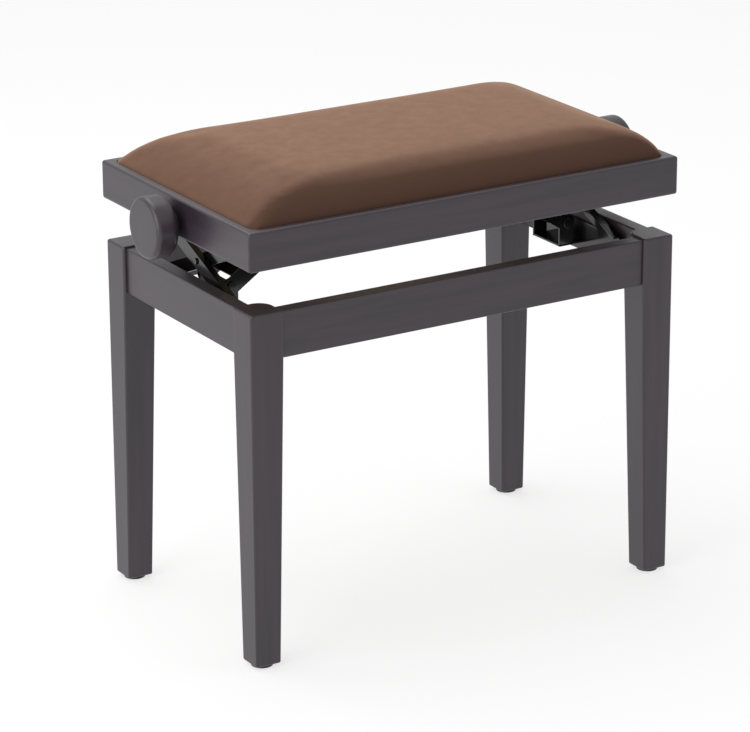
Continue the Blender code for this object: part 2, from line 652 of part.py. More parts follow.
def make_corner_block(name, sign_x, sign_y):
    """Triangular block in a corner of the seat frame, with the screw that holds the board."""
    corner = (SEAT_WALL - GAP, SEAT_WIDTH / 2 - SEAT_RAIL_THICKNESS - GAP)
    points = [corner, (corner[0] - BLOCK_LEG, corner[1]), (corner[0], corner[1] - BLOCK_LEG)]
    outline = [(sign_x * x, sign_y * y) for x, y in points]
    pine = material("corner_block_wood", (0.45, 0.30, 0.17), 0.7)
    item = place(f"corner_block_{name}", slab(outline, 2, RABBET_FLOOR - BLOCK_HEIGHT, RABBET_FLOOR), pine)
    combine(item, board_screw(sign_x, sign_y, GAP), "DIFFERENCE")
    place(f"board_screw_{name}", board_screw(sign_x, sign_y, 0.0), zinc(), smooth=30)


def make_upper_bracket(side, sign):
    """Steel plate inside the seat's end rail: arm hole, arm slot and a boss round the spindle."""
    low = ARM_TOP - ARM_TOP_SINK - ARM_PIN_RADIUS - ARM_TOP_PLAY - BRACKET_MARGIN
    far = slider_reach(-LIFT_DOWN) + ARM_PIN_RADIUS + 2 * BRACKET_MARGIN
    xs = span(sign, UPPER_PLATE_IN, UPPER_PLATE_OUT)
    cut = span(sign, UPPER_PLATE_IN - GAP, UPPER_PLATE_OUT + GAP)
    outline = rounded_rectangle((-far, low), (far, low + UPPER_PLATE_HEIGHT), (UPPER_PLATE_CORNER,) * 4)
    bracket = place(f"upper_bracket_{side}", slab(outline, 0, *xs), steel(), smooth=30)
    boss = BUSH_RADIUS + 2 * BRACKET_MARGIN
    tab_radii = (BOSS_FOOT_RADIUS, BOSS_FOOT_RADIUS, BOSS_TOP_RADIUS, BOSS_TOP_RADIUS)
    tab = rounded_rectangle((-boss, low), (boss, SPINDLE_HEIGHT + boss), tab_radii)
    combine(bracket, slab(tab, 0, *xs), "UNION")
    combine(bracket, rod((0, 0, SPINDLE_HEIGHT), 0, *cut, BUSH_RADIUS + GAP), "DIFFERENCE")
    height = ARM_TOP - ARM_TOP_SINK
    radius = ARM_PIN_RADIUS + ARM_TOP_PLAY
    combine(bracket, rod((0, -ARM_REACH, height), 0, *cut, radius), "DIFFERENCE")
    slot = stadium((slider_reach(LIFT_UP) - ARM_SLOT_PLAY, height),
                   (slider_reach(-LIFT_DOWN) + ARM_SLOT_PLAY, height), radius)
    combine(bracket, slab(slot, 0, *cut), "DIFFERENCE")
    for _, end in ENDS:
        hole = screw_shape(UPPER_PLATE_IN, sign, end, SEAT_BOTTOM + UPPER_SCREW_RISE, GAP)
        combine(bracket, hole, "DIFFERENCE")


def make_bush(side, sign):
    """Flanged bearing bush for the spindle, pushed in from inside the seat."""
    bore = SPINDLE_RADIUS + RUNNING
    flange = BUSH_RADIUS + BUSH_FLANGE
    inner = UPPER_PLATE_IN - GAP - BUSH_FLANGE_THICKNESS
    outer = SEAT_LENGTH / 2 - GAP
    profile = [(inner, bore), (inner, flange), (inner + BUSH_FLANGE_THICKNESS, flange),
               (inner + BUSH_FLANGE_THICKNESS, BUSH_RADIUS), (outer, BUSH_RADIUS), (outer, bore),
               (inner, bore)]
    brass = material("bronze_bush", (0.45, 0.32, 0.16), 0.35, 1.0)
    bush = ring_solid([(sign * x, r) for x, r in profile], SPINDLE_HEIGHT)
    place(f"spindle_bush_{side}", bush, brass, smooth=30)


def ring_solid(profile, height, segments=20):
    """Turned ring about the spindle's axis from a closed profile that never meets the axis."""
    shape = turned(profile, (0, 0, height), 0, segments)
    bmesh.ops.remove_doubles(shape, verts=shape.verts, dist=0.01 * MM)
    return shape


def make_seat():
    for name, sign in ENDS:
        make_seat_rail(name, True, sign)
    for side, sign in SIDES:
        make_seat_rail(side, False, sign)
        make_upper_bracket(side, sign)
        make_screws("upper", UPPER_PLATE_IN, sign, side, SEAT_BOTTOM + UPPER_SCREW_RISE)
        make_bush(side, sign)
    for end_name, sign_y in ENDS:
        for side, sign_x in SIDES:
            make_corner_block(f"{end_name}_{side}", sign_x, sign_y)
    make_upholstery()


# ---------------------------------------------------------------- spindle

def make_spindle():
    """Lift spindle from knob to knob."""
    tip = SEAT_LENGTH / 2 + KNOB_BORE_DEPTH - GAP
    ease = SPINDLE_TIP_EASE
    profile = [(-tip, 0), (-tip, SPINDLE_RADIUS - ease), (-tip + ease, SPINDLE_RADIUS),
               (tip - ease, SPINDLE_RADIUS), (tip, SPINDLE_RADIUS - ease), (tip, 0)]
    axis_point = (0, 0, SPINDLE_HEIGHT)
    place("spindle", turned(profile, axis_point, 0), steel(), origin=axis_point, smooth=30)


def knob_profile():
    """Outline of a knob as (distance from the seat frame, radius), bore first."""
    bore = SPINDLE_RADIUS + GAP
    neck = KNOB_STANDOFF + KNOB_NECK_LENGTH
    profile = [(KNOB_BORE_DEPTH, 0), (KNOB_BORE_DEPTH, bore), (KNOB_STANDOFF, bore),
               (KNOB_STANDOFF, KNOB_NECK_RADIUS), (neck, KNOB_NECK_RADIUS)]
    for k in range(1, 6):
        turn = math.radians(18 * k)
        profile.append((neck + KNOB_FLARE * (1 - math.cos(turn)),
                        KNOB_NECK_RADIUS + (KNOB_RADIUS - KNOB_NECK_RADIUS) * math.sin(turn)))
    for k in range(1, 4):
        turn = math.radians(30 * k)
        profile.append((KNOB_DEPTH - KNOB_RIM_RADIUS * (1 - math.sin(turn)),
                        KNOB_RADIUS - KNOB_RIM_RADIUS * (1 - math.cos(turn))))
    profile.append((KNOB_DEPTH, 0))
    return profile


def make_knob(side, sign):
    """Round turned knob with a flat outer face and a narrower neck."""
    profile = [(sign * (SEAT_LENGTH / 2 + distance), radius) for distance, radius in knob_profile()]
    axis_point = (0, 0, SPINDLE_HEIGHT)
    place(f"knob_{side}", turned(profile, axis_point, 0, 36), wood(), origin=axis_point, smooth=35)


def make_collar(side, sign):
    """Collar that keeps the spindle from sliding along its bushes."""
    bore = SPINDLE_RADIUS + GAP
    outer = UPPER_PLATE_IN - 2 * GAP - BUSH_FLANGE_THICKNESS - SIDE_PLAY
    inner = outer - COLLAR_LENGTH
    profile = [(inner, bore), (inner, COLLAR_RADIUS), (outer, COLLAR_RADIUS), (outer, bore), (inner, bore)]
    collar = ring_solid([(sign * x, r) for x, r in profile], SPINDLE_HEIGHT)
    place(f"spindle_collar_{side}", collar, steel(), origin=(0, 0, SPINDLE_HEIGHT), smooth=30)


# ---------------------------------------------------------------- lift linkage

def make_nut(side, sign):
    """Travelling nut with a trunnion at the front and the back."""
    axis_point = (sign * NUT_X, 0, SPINDLE_HEIGHT)
    shoulder = STRUT_WIDTH / 2 - STRUT_WALL - SIDE_PLAY
    half_y = shoulder - NUT_SHOULDER
    low = (axis_point[0] - NUT_LENGTH / 2, -half_y, SPINDLE_HEIGHT - NUT_HEIGHT / 2)
    high = (axis_point[0] + NUT_LENGTH / 2, half_y, SPINDLE_HEIGHT + NUT_HEIGHT / 2)
    body = eased_block(low, high, NUT_EDGE_RADIUS)
    nut = place(f"nut_{side}", body, steel(), origin=axis_point, smooth=30)
    tip = STRUT_WIDTH / 2 + TRUNNION_PROUD
    half_profile = [(shoulder, TRUNNION_SHOULDER), (shoulder, TRUNNION_RADIUS),
                    (tip, TRUNNION_RADIUS), (tip, 0)]
    profile = [(-y, radius) for y, radius in reversed(half_profile)] + half_profile
    combine(nut, turned(profile, axis_point, 1), "UNION")
    combine(nut, rod(axis_point, 0, *span(sign, NUT_X - NUT_LENGTH, NUT_X + NUT_LENGTH),
                     SPINDLE_RADIUS + RUNNING), "DIFFERENCE")


def strut_travel(lift):
    """Distance from the strut's lower pivot to its nut at this lift."""
    return math.hypot(STRUT_RISE + lift, STRUT_RUN - NUT_RATIO * lift)


def make_strut(side, sign):
    """Channel strut from the lower bracket up to the nut, open at the top."""
    pivot = (sign * STRUT_PIVOT_X, STRUT_PIVOT_HEIGHT)
    angle = math.pi - STRUT_ANGLE if sign > 0 else STRUT_ANGLE
    far = max(strut_travel(-LIFT_DOWN), strut_travel(LIFT_UP)) + STRUT_SLOT_PLAY
    half = STRUT_WIDTH / 2
    outline = stadium(pivot, along(pivot, angle, far), STRUT_HEIGHT / 2)
    strut = place(f"strut_{side}", slab(outline, 1, -half, half), steel(),
                  origin=(pivot[0], 0, pivot[1]), smooth=30)
    floor = -sign * STRUT_HEIGHT / 2
    roof = sign * STRUT_HEIGHT
    web = floor + sign * STRUT_WALL
    start = STRUT_HEIGHT / 2 + STRUT_WEB_START
    stop = STRUT_LENGTH - NUT_LENGTH / 2 - STRUT_WEB_STOP
    inner = half - STRUT_WALL
    well = [along(pivot, angle, u, -v) for u, v in
            ((-STRUT_HEIGHT, floor * 2), (start, floor * 2), (start, web), (stop, web), (stop, floor * 2),
             (far + STRUT_HEIGHT, floor * 2), (far + STRUT_HEIGHT, roof), (-STRUT_HEIGHT, roof))]
    combine(strut, slab(well, 1, -inner, inner), "DIFFERENCE")
    combine(strut, rod((pivot[0], 0, pivot[1]), 1, -half - GAP, half + GAP,
                       STRUT_PIN_RADIUS + RUNNING), "DIFFERENCE")
    slot = stadium(along(pivot, angle, STRUT_LENGTH - STRUT_SLOT_PLAY), along(pivot, angle, far),
                   TRUNNION_RADIUS + STRUT_SLOT_PLAY)
    combine(strut, slab(slot, 1, -half - GAP, half + GAP), "DIFFERENCE")


def arm_plate(name, start, angle, sign, plate, flange_in, origin):
    """Flat bar with a flange along its top edge, between two stations on X."""
    end = along(start, angle, ARM_LENGTH)
    item = place(name, slab(stadium(start, end, ARM_HEIGHT / 2), 0, *span(sign, *plate)), steel(),
                 origin=origin, smooth=30)
    up = 1 if math.cos(angle) > 0 else -1
    edge = up * ARM_HEIGHT / 2
    under = up * (ARM_HEIGHT / 2 - ARM_THICKNESS)
    clear = ARM_HEIGHT / 2 + ARM_FLANGE_START
    strip = [along(start, angle, u, v) for u, v in
             ((clear, under), (ARM_LENGTH - clear, under), (ARM_LENGTH - clear, edge), (clear, edge))]
    combine(item, slab(strip, 0, *span(sign, flange_in, plate[0] + ARM_THICKNESS / 2)), "UNION")
    return item


def make_scissor(side, sign):
    """Two crossed arms beside the side apron, joined by a bolt in the middle."""
    low_front = (-ARM_REACH, ARM_PIVOT_HEIGHT)
    low_back = (ARM_REACH, ARM_PIVOT_HEIGHT)
    high_front = (-ARM_REACH, ARM_TOP)
    high_back = (ARM_REACH, ARM_TOP)
    middle = (0.0, (ARM_PIVOT_HEIGHT + ARM_TOP) / 2)
    mid_x = sign * (INNER_ARM_OUT + OUTER_ARM_IN) / 2

    outer = arm_plate(f"arm_outer_{side}", low_front, ARM_ANGLE, sign, (OUTER_ARM_IN, OUTER_ARM_OUT),
                      OUTER_FLANGE_IN, (sign * OUTER_ARM_IN, *low_front))
    inner = arm_plate(f"arm_inner_{side}", low_back, math.pi - ARM_ANGLE, sign,
                      (INNER_ARM_IN, INNER_ARM_OUT), INNER_FLANGE_IN, (sign * INNER_ARM_IN, *middle))
    combine(outer, pin_between(sign, low_front, OUTER_ARM_IN - 2 * GAP, OUTER_ARM_OUT + GAP,
                               ARM_PIN_RADIUS + RUNNING), "DIFFERENCE")
    combine(outer, pin_between(sign, middle, OUTER_ARM_IN - 2 * GAP, OUTER_ARM_OUT + GAP,
                               ARM_PIN_RADIUS + GAP), "DIFFERENCE")
    combine(inner, pin_between(sign, middle, INNER_ARM_IN - 2 * GAP, INNER_ARM_OUT + GAP,
                               ARM_PIN_RADIUS + RUNNING), "DIFFERENCE")
    combine(outer, pin_between(sign, high_back, OUTER_ARM_IN + GAP, UPPER_PLATE_OUT - GAP,
                               ARM_PIN_RADIUS), "UNION")
    combine(inner, pin_between(sign, high_front, INNER_ARM_IN + GAP, UPPER_PLATE_OUT - GAP,
                               ARM_PIN_RADIUS), "UNION")
    combine(inner, pin_between(sign, low_back, INNER_ARM_IN + GAP, LOWER_PLATE_OUT - GAP,
                               ARM_PIN_RADIUS), "UNION")
    head = ARM_HEIGHT / 2 - ARM_THICKNESS - GAP
    spacer = head - GAP
    far = OUTER_ARM_OUT + GAP
    near = INNER_ARM_IN - GAP
    profile = [(far + PIN_HEAD_THICKNESS, 0), (far + PIN_HEAD_THICKNESS, head), (far, head),
               (far, ARM_PIN_RADIUS), (OUTER_ARM_IN - GAP, ARM_PIN_RADIUS), (OUTER_ARM_IN - GAP, spacer),
               (INNER_ARM_OUT + GAP, spacer), (INNER_ARM_OUT + GAP, ARM_PIN_RADIUS), (near, ARM_PIN_RADIUS),
               (near, head), (near - PIN_HEAD_THICKNESS, head), (near - PIN_HEAD_THICKNESS, 0)]
    bolt = turned([(sign * x, r) for x, r in profile], (0.0, *middle), 0)
    place(f"scissor_bolt_{side}", bolt, steel(), origin=(mid_x, *middle), smooth=30)


def pin_between(sign, point, inner, outer, radius):
    """Cylinder along X at a point in the Y, Z plane."""
    return rod((0.0, *point), 0, *span(sign, inner, outer), radius)


def main():
    clear_scene()
    make_leg_frame()
    make_seat()
    make_spindle()
    for side, sign in SIDES:
        make_knob(side, sign)
        make_collar(side, sign)
        make_nut(side, sign)
        make_strut(side, sign)
        make_scissor(side, sign)


main()
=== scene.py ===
"""Height-adjustable piano bench: the detailed visual model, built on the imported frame.

Units are metres, +Z is up, +X runs along the bench and -Y is its front. Each sub-assembly is a class
that reads its place from the frame, builds its pieces and dresses them.
"""

import json
import logging
import math
from dataclasses import dataclass
from enum import Enum
from typing import Iterable, Sequence

import bmesh
import bpy
from mathutils import Matrix, Vector

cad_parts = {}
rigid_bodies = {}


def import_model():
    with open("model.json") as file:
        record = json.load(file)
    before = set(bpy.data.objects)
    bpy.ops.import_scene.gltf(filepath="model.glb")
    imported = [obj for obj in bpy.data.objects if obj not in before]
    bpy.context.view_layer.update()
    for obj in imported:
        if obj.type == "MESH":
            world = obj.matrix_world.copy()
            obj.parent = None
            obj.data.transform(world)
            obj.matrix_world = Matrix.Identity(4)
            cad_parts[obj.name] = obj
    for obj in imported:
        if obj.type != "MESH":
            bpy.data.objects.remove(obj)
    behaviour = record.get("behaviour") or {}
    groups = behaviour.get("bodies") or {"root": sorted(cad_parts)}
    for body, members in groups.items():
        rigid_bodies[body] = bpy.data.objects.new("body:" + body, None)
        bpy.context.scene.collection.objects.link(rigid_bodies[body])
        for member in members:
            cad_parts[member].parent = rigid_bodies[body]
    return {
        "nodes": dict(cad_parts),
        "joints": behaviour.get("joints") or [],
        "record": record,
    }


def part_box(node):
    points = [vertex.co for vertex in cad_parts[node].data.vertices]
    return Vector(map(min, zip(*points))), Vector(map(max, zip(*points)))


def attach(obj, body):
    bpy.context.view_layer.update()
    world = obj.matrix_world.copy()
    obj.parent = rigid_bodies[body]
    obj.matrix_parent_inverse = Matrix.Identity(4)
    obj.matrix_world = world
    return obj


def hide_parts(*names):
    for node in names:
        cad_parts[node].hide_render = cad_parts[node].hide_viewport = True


MM = 0.001
SIDES = (("left", -1), ("right", 1))
ENDS = (("front", -1), ("back", 1))

TOUCH = 0.01 * MM           # what lies this close to a level lies on it
SEAM = 0.002 * MM           # corners this close on a lathe's seam are one
DOUBLE = 0.001 * MM         # corners this close in a finished piece are one
RIM_ANGLE = 1.2             # a plate's edges folded further than this, in radians, are its rims
ROUND = 0.995               # share of half its height that rounds an end, so that no two corners meet

Shape = bmesh.types.BMesh

log = logging.getLogger("bench")


# ---------------------------------------------------------------- materials


class Grain(Enum):
    """Which way the grain of a wooden piece runs."""

    LENGTHWISE = 0
    CROSSWISE = 1
    UPRIGHT = 2

    def stretch(self, length: float) -> tuple[float, float, float]:
        """Gives a pattern's scale on each axis, drawn out by this much along the grain."""
        return tuple(1.0 / length if axis == self.value else 1.0 for axis in range(3))


def linear(colour: str) -> tuple[float, float, float, float]:
    """Turns an sRGB hex colour to linear.

    Args:
        colour: Six hex digits.

    Returns:
        The linear red, green and blue, and an alpha of 1.
    """
    parts = [int(colour[at : at + 2], 16) / 255 for at in (0, 2, 4)]
    return (*(part / 12.92 if part <= 0.04045 else ((part + 0.055) / 1.055) ** 2.4 for part in parts), 1.0)


def add(tree: bpy.types.NodeTree, kind: str, inputs: dict | None = None,
        **settings: object) -> bpy.types.Node:
    """Adds a node with its settings and links.

    Args:
        tree: The material's node tree.
        kind: The node's Blender type.
        inputs: A value, or another node's output to link, for each input by name or index.
        settings: The node's own properties.

    Returns:
        The new node.
    """
    made = tree.nodes.new(kind)
    for name, value in settings.items():
        setattr(made, name, value)
    for name, value in (inputs or {}).items():
        if isinstance(value, bpy.types.NodeSocket):
            tree.links.new(value, made.inputs[name])
        else:
            made.inputs[name].default_value = value
    return made


def cells_per_metre(size: float) -> float:
    """Gives the noise scale for features about this big, in metres."""
    return 0.5 / size


@dataclass(frozen=True)
class Finish:
    """A surface finish: what every material here has.

    Args:
        name: What the material is and how its surface was made.
        colour: Its sRGB colour.
        shade: A second sRGB colour that it varies to.
        roughness: Mean roughness.
    """

    name: str
    colour: str
    shade: str
    roughness: float

    def start(self) -> tuple[bpy.types.Material, bpy.types.NodeTree, bpy.types.Node, bpy.types.NodeSocket]:
        """Makes an empty material.

        Returns:
            The material, its tree, its shader and the object coordinates.
        """
        made = bpy.data.materials.new(self.name)
        made.use_nodes = True
        tree = made.node_tree
        tree.nodes.clear()
        shader = add(tree, "ShaderNodeBsdfPrincipled", {"Roughness": self.roughness})
        add(tree, "ShaderNodeOutputMaterial", {"Surface": shader.outputs["BSDF"]})
        place = add(tree, "ShaderNodeTexCoord").outputs["Object"]
        return made, tree, shader, place

    def vary(self, tree: bpy.types.NodeTree, shader: bpy.types.Node, pattern: bpy.types.NodeSocket,
             spread: float, low: float = 0.35, high: float = 0.65) -> None:
        """Lets a pattern move the colour between the two shades, and the roughness by a spread.

        Args:
            tree: The material's node tree.
            shader: Its shader.
            pattern: A value from 0 to 1.
            spread: How far the roughness moves either way.
            low: Pattern value that gives the first shade.
            high: Pattern value that gives the second.
        """
        share = add(tree, "ShaderNodeMapRange", {"Value": pattern, "From Min": low, "From Max": high})
        mixed = add(tree, "ShaderNodeMix", {0: share.outputs[0], 6: linear(self.colour),
                                            7: linear(self.shade)}, data_type="RGBA")
        tree.links.new(mixed.outputs[2], shader.inputs["Base Color"])
        rough = add(tree, "ShaderNodeMapRange", {"Value": pattern, "From Min": 0.0, "From Max": 1.0,
                                                 "To Min": self.roughness - spread,
                                                 "To Max": self.roughness + spread})
        tree.links.new(rough.outputs[0], shader.inputs["Roughness"])

    def emboss(self, tree: bpy.types.NodeTree, shader: bpy.types.Node, pattern: bpy.types.NodeSocket,
               strength: float, depth: float) -> None:
        """Raises the surface by a pattern.

        Args:
            tree: The material's node tree.
            shader: Its shader.
            pattern: Height from 0 to 1.
            strength: How much of it shows.
            depth: Its real depth in metres.
        """
        raised = add(tree, "ShaderNodeBump", {"Height": pattern, "Strength": strength, "Distance": depth})
        tree.links.new(raised.outputs["Normal"], shader.inputs["Normal"])


@dataclass(frozen=True)
class StainedBeech(Finish):
    """Beech stained dark rosewood under satin lacquer: an even violet brown, faint streaks along the
    grain and fine closed pores, with the broad soft gloss of a sprayed lacquer.

    Args:
        grain: Which way the piece was cut.
    """

    grain: Grain = Grain.UPRIGHT

    def material(self) -> bpy.types.Material:
        """Makes the material.

        Returns:
            The material.
        """
        made, tree, shader, place = self.start()
        drawn = add(tree, "ShaderNodeMapping", {"Vector": place, "Scale": self.grain.stretch(18)})
        # Streaks of the growth rings are about 5 mm wide.
        streaks = add(tree, "ShaderNodeTexNoise", {"Vector": drawn.outputs[0], "Detail": 4.0,
                                                   "Roughness": 0.6, "Scale": cells_per_metre(5 * MM)})
        self.vary(tree, shader, streaks.outputs[0], spread=0.05, low=0.3, high=0.72)
        # Pores are 0.1 mm wide in beech, drawn 0.7 mm so that they show.
        pores = add(tree, "ShaderNodeTexNoise", {"Vector": drawn.outputs[0], "Detail": 3.0,
                                                 "Scale": cells_per_metre(0.7 * MM)})
        self.emboss(tree, shader, pores.outputs[0], strength=0.16, depth=0.1 * MM)
        shader.inputs["Coat Weight"].default_value = 0.25
        shader.inputs["Coat Roughness"].default_value = 0.28
        return made


@dataclass(frozen=True)
class Velvet(Finish):
    """Cut-pile cotton velvet: soft brown, pale where it is seen along the pile, deep where it is seen
    into the pile, and mottled where the nap was brushed different ways.

    Args:
        depth: sRGB colour seen straight into the pile.
        tint: sRGB colour of the light that the pile's tips catch.
    """

    depth: str = "49342A"
    tint: str = "E8C8AE"

    def material(self) -> bpy.types.Material:
        """Makes the material.

        Returns:
            The material.
        """
        made, tree, shader, place = self.start()
        # Crushed spots in the nap are about 8 mm across.
        patches = add(tree, "ShaderNodeTexNoise", {"Vector": place, "Scale": cells_per_metre(8 * MM),
                                                   "Detail": 5.0, "Roughness": 0.6})
        mottle = add(tree, "ShaderNodeMapRange", {"Value": patches.outputs[0], "From Min": 0.25,
                                                  "From Max": 0.78})
        nap = add(tree, "ShaderNodeMix", {0: mottle.outputs[0], 6: linear(self.colour),
                                          7: linear(self.shade)}, data_type="RGBA")
        edge = add(tree, "ShaderNodeLayerWeight", {"Blend": 0.5})
        seen = add(tree, "ShaderNodeMapRange", {"Value": edge.outputs["Facing"], "From Min": 0.35,
                                                "From Max": 0.74})
        pile = add(tree, "ShaderNodeMix", {0: seen.outputs[0], 6: linear(self.depth), 7: nap.outputs[2]},
                   data_type="RGBA")
        tree.links.new(pile.outputs[2], shader.inputs["Base Color"])
        # Pile tufts are about 0.3 mm, drawn 0.9 mm so that they show.
        tufts = add(tree, "ShaderNodeTexNoise", {"Vector": place, "Scale": cells_per_metre(0.9 * MM),
                                                 "Detail": 2.0})
        self.emboss(tree, shader, tufts.outputs[0], strength=0.35, depth=0.25 * MM)
        shader.inputs["Sheen Weight"].default_value = 0.42
        shader.inputs["Sheen Roughness"].default_value = 0.33
        shader.inputs["Sheen Tint"].default_value = linear(self.tint)
        shader.inputs["Specular IOR Level"].default_value = 0.1
        return made


@dataclass(frozen=True)
class Enamel(Finish):
    """Pressed steel in baked black enamel: almost black and glossy, with a faint orange peel."""

    def material(self) -> bpy.types.Material:
        """Makes the material.

        Returns:
            The material.
        """
        made, tree, shader, place = self.start()
        # Orange peel has dimples of about 1.5 mm.
        peel = add(tree, "ShaderNodeTexNoise", {"Vector": place, "Scale": cells_per_metre(1.5 * MM),
                                                "Detail": 2.0})
        self.vary(tree, shader, peel.outputs[0], spread=0.03)
        self.emboss(tree, shader, peel.outputs[0], strength=0.1, depth=0.05 * MM)
        shader.inputs["Coat Weight"].default_value = 0.45
        shader.inputs["Coat Roughness"].default_value = 0.08
        shader.inputs["Specular IOR Level"].default_value = 0.3
        return made


@dataclass(frozen=True)
class Metal(Finish):
    """Bare or plated metal with fine turning marks: bright, with a soft broken reflection.

    Args:
        marks: Width of the marks in metres.
    """

    marks: float = 0.5 * MM

    def material(self) -> bpy.types.Material:
        """Makes the material.

        Returns:
            The material.
        """
        made, tree, shader, place = self.start()
        shader.inputs["Metallic"].default_value = 1.0
        drawn = add(tree, "ShaderNodeMapping", {"Vector": place, "Scale": (4.0, 1.0, 1.0)})
        turned_marks = add(tree, "ShaderNodeTexNoise", {"Vector": drawn.outputs[0], "Detail": 3.0,
                                                        "Scale": cells_per_metre(self.marks)})
        self.vary(tree, shader, turned_marks.outputs[0], spread=0.08)
        self.emboss(tree, shader, turned_marks.outputs[0], strength=0.15, depth=0.03 * MM)
        return made


@dataclass(frozen=True)
class Moulded(Finish):
    """Moulded nylon: dull black with a spark-eroded texture and scuffs."""

    def material(self) -> bpy.types.Material:
        """Makes the material.

        Returns:
            The material.
        """
        made, tree, shader, place = self.start()
        # The eroded grit is about 0.4 mm.
        grit = add(tree, "ShaderNodeTexNoise", {"Vector": place, "Scale": cells_per_metre(0.4 * MM),
                                                "Detail": 2.0})
        self.vary(tree, shader, grit.outputs[0], spread=0.06)
        self.emboss(tree, shader, grit.outputs[0], strength=0.2, depth=0.05 * MM)
        return made


@dataclass(frozen=True)
class RawWood(Finish):
    """Unfinished wood or plywood: pale, dry, with open grain lines.

    Args:
        grain: Which way the piece was cut.
        line: Width of a grain line in metres.
    """

    grain: Grain = Grain.LENGTHWISE
    line: float = 3 * MM

    def material(self) -> bpy.types.Material:
        """Makes the material.

        Returns:
            The material.
        """
        made, tree, shader, place = self.start()
        drawn = add(tree, "ShaderNodeMapping", {"Vector": place, "Scale": self.grain.stretch(14)})
        lines = add(tree, "ShaderNodeTexNoise", {"Vector": drawn.outputs[0], "Detail": 6.0, "Roughness": 0.6,
                                                 "Scale": cells_per_metre(self.line), "Distortion": 0.4})
        self.vary(tree, shader, lines.outputs[0], spread=0.06, low=0.35, high=0.7)
        self.emboss(tree, shader, lines.outputs[0], strength=0.25, depth=0.1 * MM)
        return made


class Workshop:
    """Every material of the bench, made once."""

    def __init__(self) -> None:
        """Makes the materials."""
        self.beech = {}
        for way in Grain:
            name = f"rosewood_stained_beech_{way.name.lower()}"
            self.beech[way] = StainedBeech(name, "241D25", "312730", 0.40, way).material()
        self.velvet = Velvet("brown_cotton_velvet", "6E5142", "7C5E4E", 0.9).material()
        self.enamel = Enamel("black_enamelled_steel", "090A0B", "101113", 0.2).material()
        self.zinc = Metal("zinc_plated_steel", "B4B6B8", "CFD0D2", 0.3).material()
        self.oiled_steel = Metal("oiled_black_steel", "2A2A2C", "3C3C3E", 0.32).material()
        self.bronze = Metal("sintered_bronze", "9C7440", "B48A50", 0.38).material()
        self.nylon = Moulded("black_moulded_nylon", "0B0B0B", "161616", 0.5).material()
        self.plywood = RawWood("birch_plywood", "C4AE8C", "B59C78", 0.7).material()
        self.pine = RawWood("planed_pine", "C49A66", "AD8250", 0.7, Grain.LENGTHWISE, 4 * MM).material()


# ---------------------------------------------------------------- shaping


def block(low: Sequence[float], high: Sequence[float]) -> Shape:
    """Builds a box between two opposite corners.

    Args:
        low: Lowest corner.
        high: Highest corner.

    Returns:
        The shape.
    """
    low, high = Vector(low), Vector(high)
    shape = bmesh.new()
    bmesh.ops.create_cube(shape, size=1.0)
    bmesh.ops.scale(shape, vec=high - low, verts=shape.verts)
    bmesh.ops.translate(shape, vec=(low + high) / 2, verts=shape.verts)
    return shape


def ease(shape: Shape, edges: Iterable[bmesh.types.BMEdge], radius: float, segments: int = 4) -> None:
    """Rounds edges.

    Args:
        shape: The shape that holds them.
        edges: The edges.
        radius: How far the rounding reaches from each edge.
        segments: Steps in the rounding.
    """
    bmesh.ops.bevel(shape, geom=list(edges), offset=radius, offset_type="OFFSET", segments=segments,
                    profile=0.5, affect="EDGES", material=-1, clamp_overlap=True)


def eased_block(low: Sequence[float], high: Sequence[float], radius: float, segments: int = 4) -> Shape:
    """Builds a box with all its edges rounded.

    Args:
        low: Lowest corner.
        high: Highest corner.
        radius: Rounding of the edges.
        segments: Steps in the rounding.

    Returns:
        The shape.
    """
    shape = block(low, high)
    ease(shape, shape.edges, radius, segments)
    return shape


def sheet_face(shape: Shape, points: Sequence[Sequence[float]], radii: Sequence[float],
               segments: int = 6) -> bmesh.types.BMFace:
    """Adds a flat face from a few corner points and rounds its corners.

    Args:
        shape: Where it goes.
        points: The corners in order.
        radii: Rounding of each corner, 0 for a sharp one.
        segments: Steps in each rounding.

    Returns:
        The face.
    """
    corners = [shape.verts.new(point) for point in points]
    shape.faces.new(corners)
    for corner, radius in zip(corners, radii):
        if radius:
            bmesh.ops.bevel(shape, geom=[corner], offset=radius, offset_type="OFFSET", segments=segments,
                            profile=0.5, affect="VERTICES", material=-1)
    shape.faces.ensure_lookup_table()
    return shape.faces[-1]


def at_level(item: bmesh.types.BMEdge | bmesh.types.BMFace, level: float, axis: int = 2) -> bool:
    """Says whether the whole of an edge or face lies at a level."""
    return all(abs(vert.co[axis] - level) < TOUCH for vert in item.verts)


def draw_out(shape: Shape, faces: Iterable[bmesh.types.BMFace],
             step: Sequence[float]) -> list[bmesh.types.BMVert]:
    """Extrudes faces. The faces themselves stay where they are, as the near end.

    Args:
        shape: The shape.
        faces: The faces.
        step: Which way and how far.

    Returns:
        The vertices of the moved end.
    """
    made = bmesh.ops.extrude_face_region(shape, geom=list(faces))["geom"]
    moved = [item for item in made if isinstance(item, bmesh.types.BMVert)]
    bmesh.ops.translate(shape, vec=step, verts=moved)
    return moved


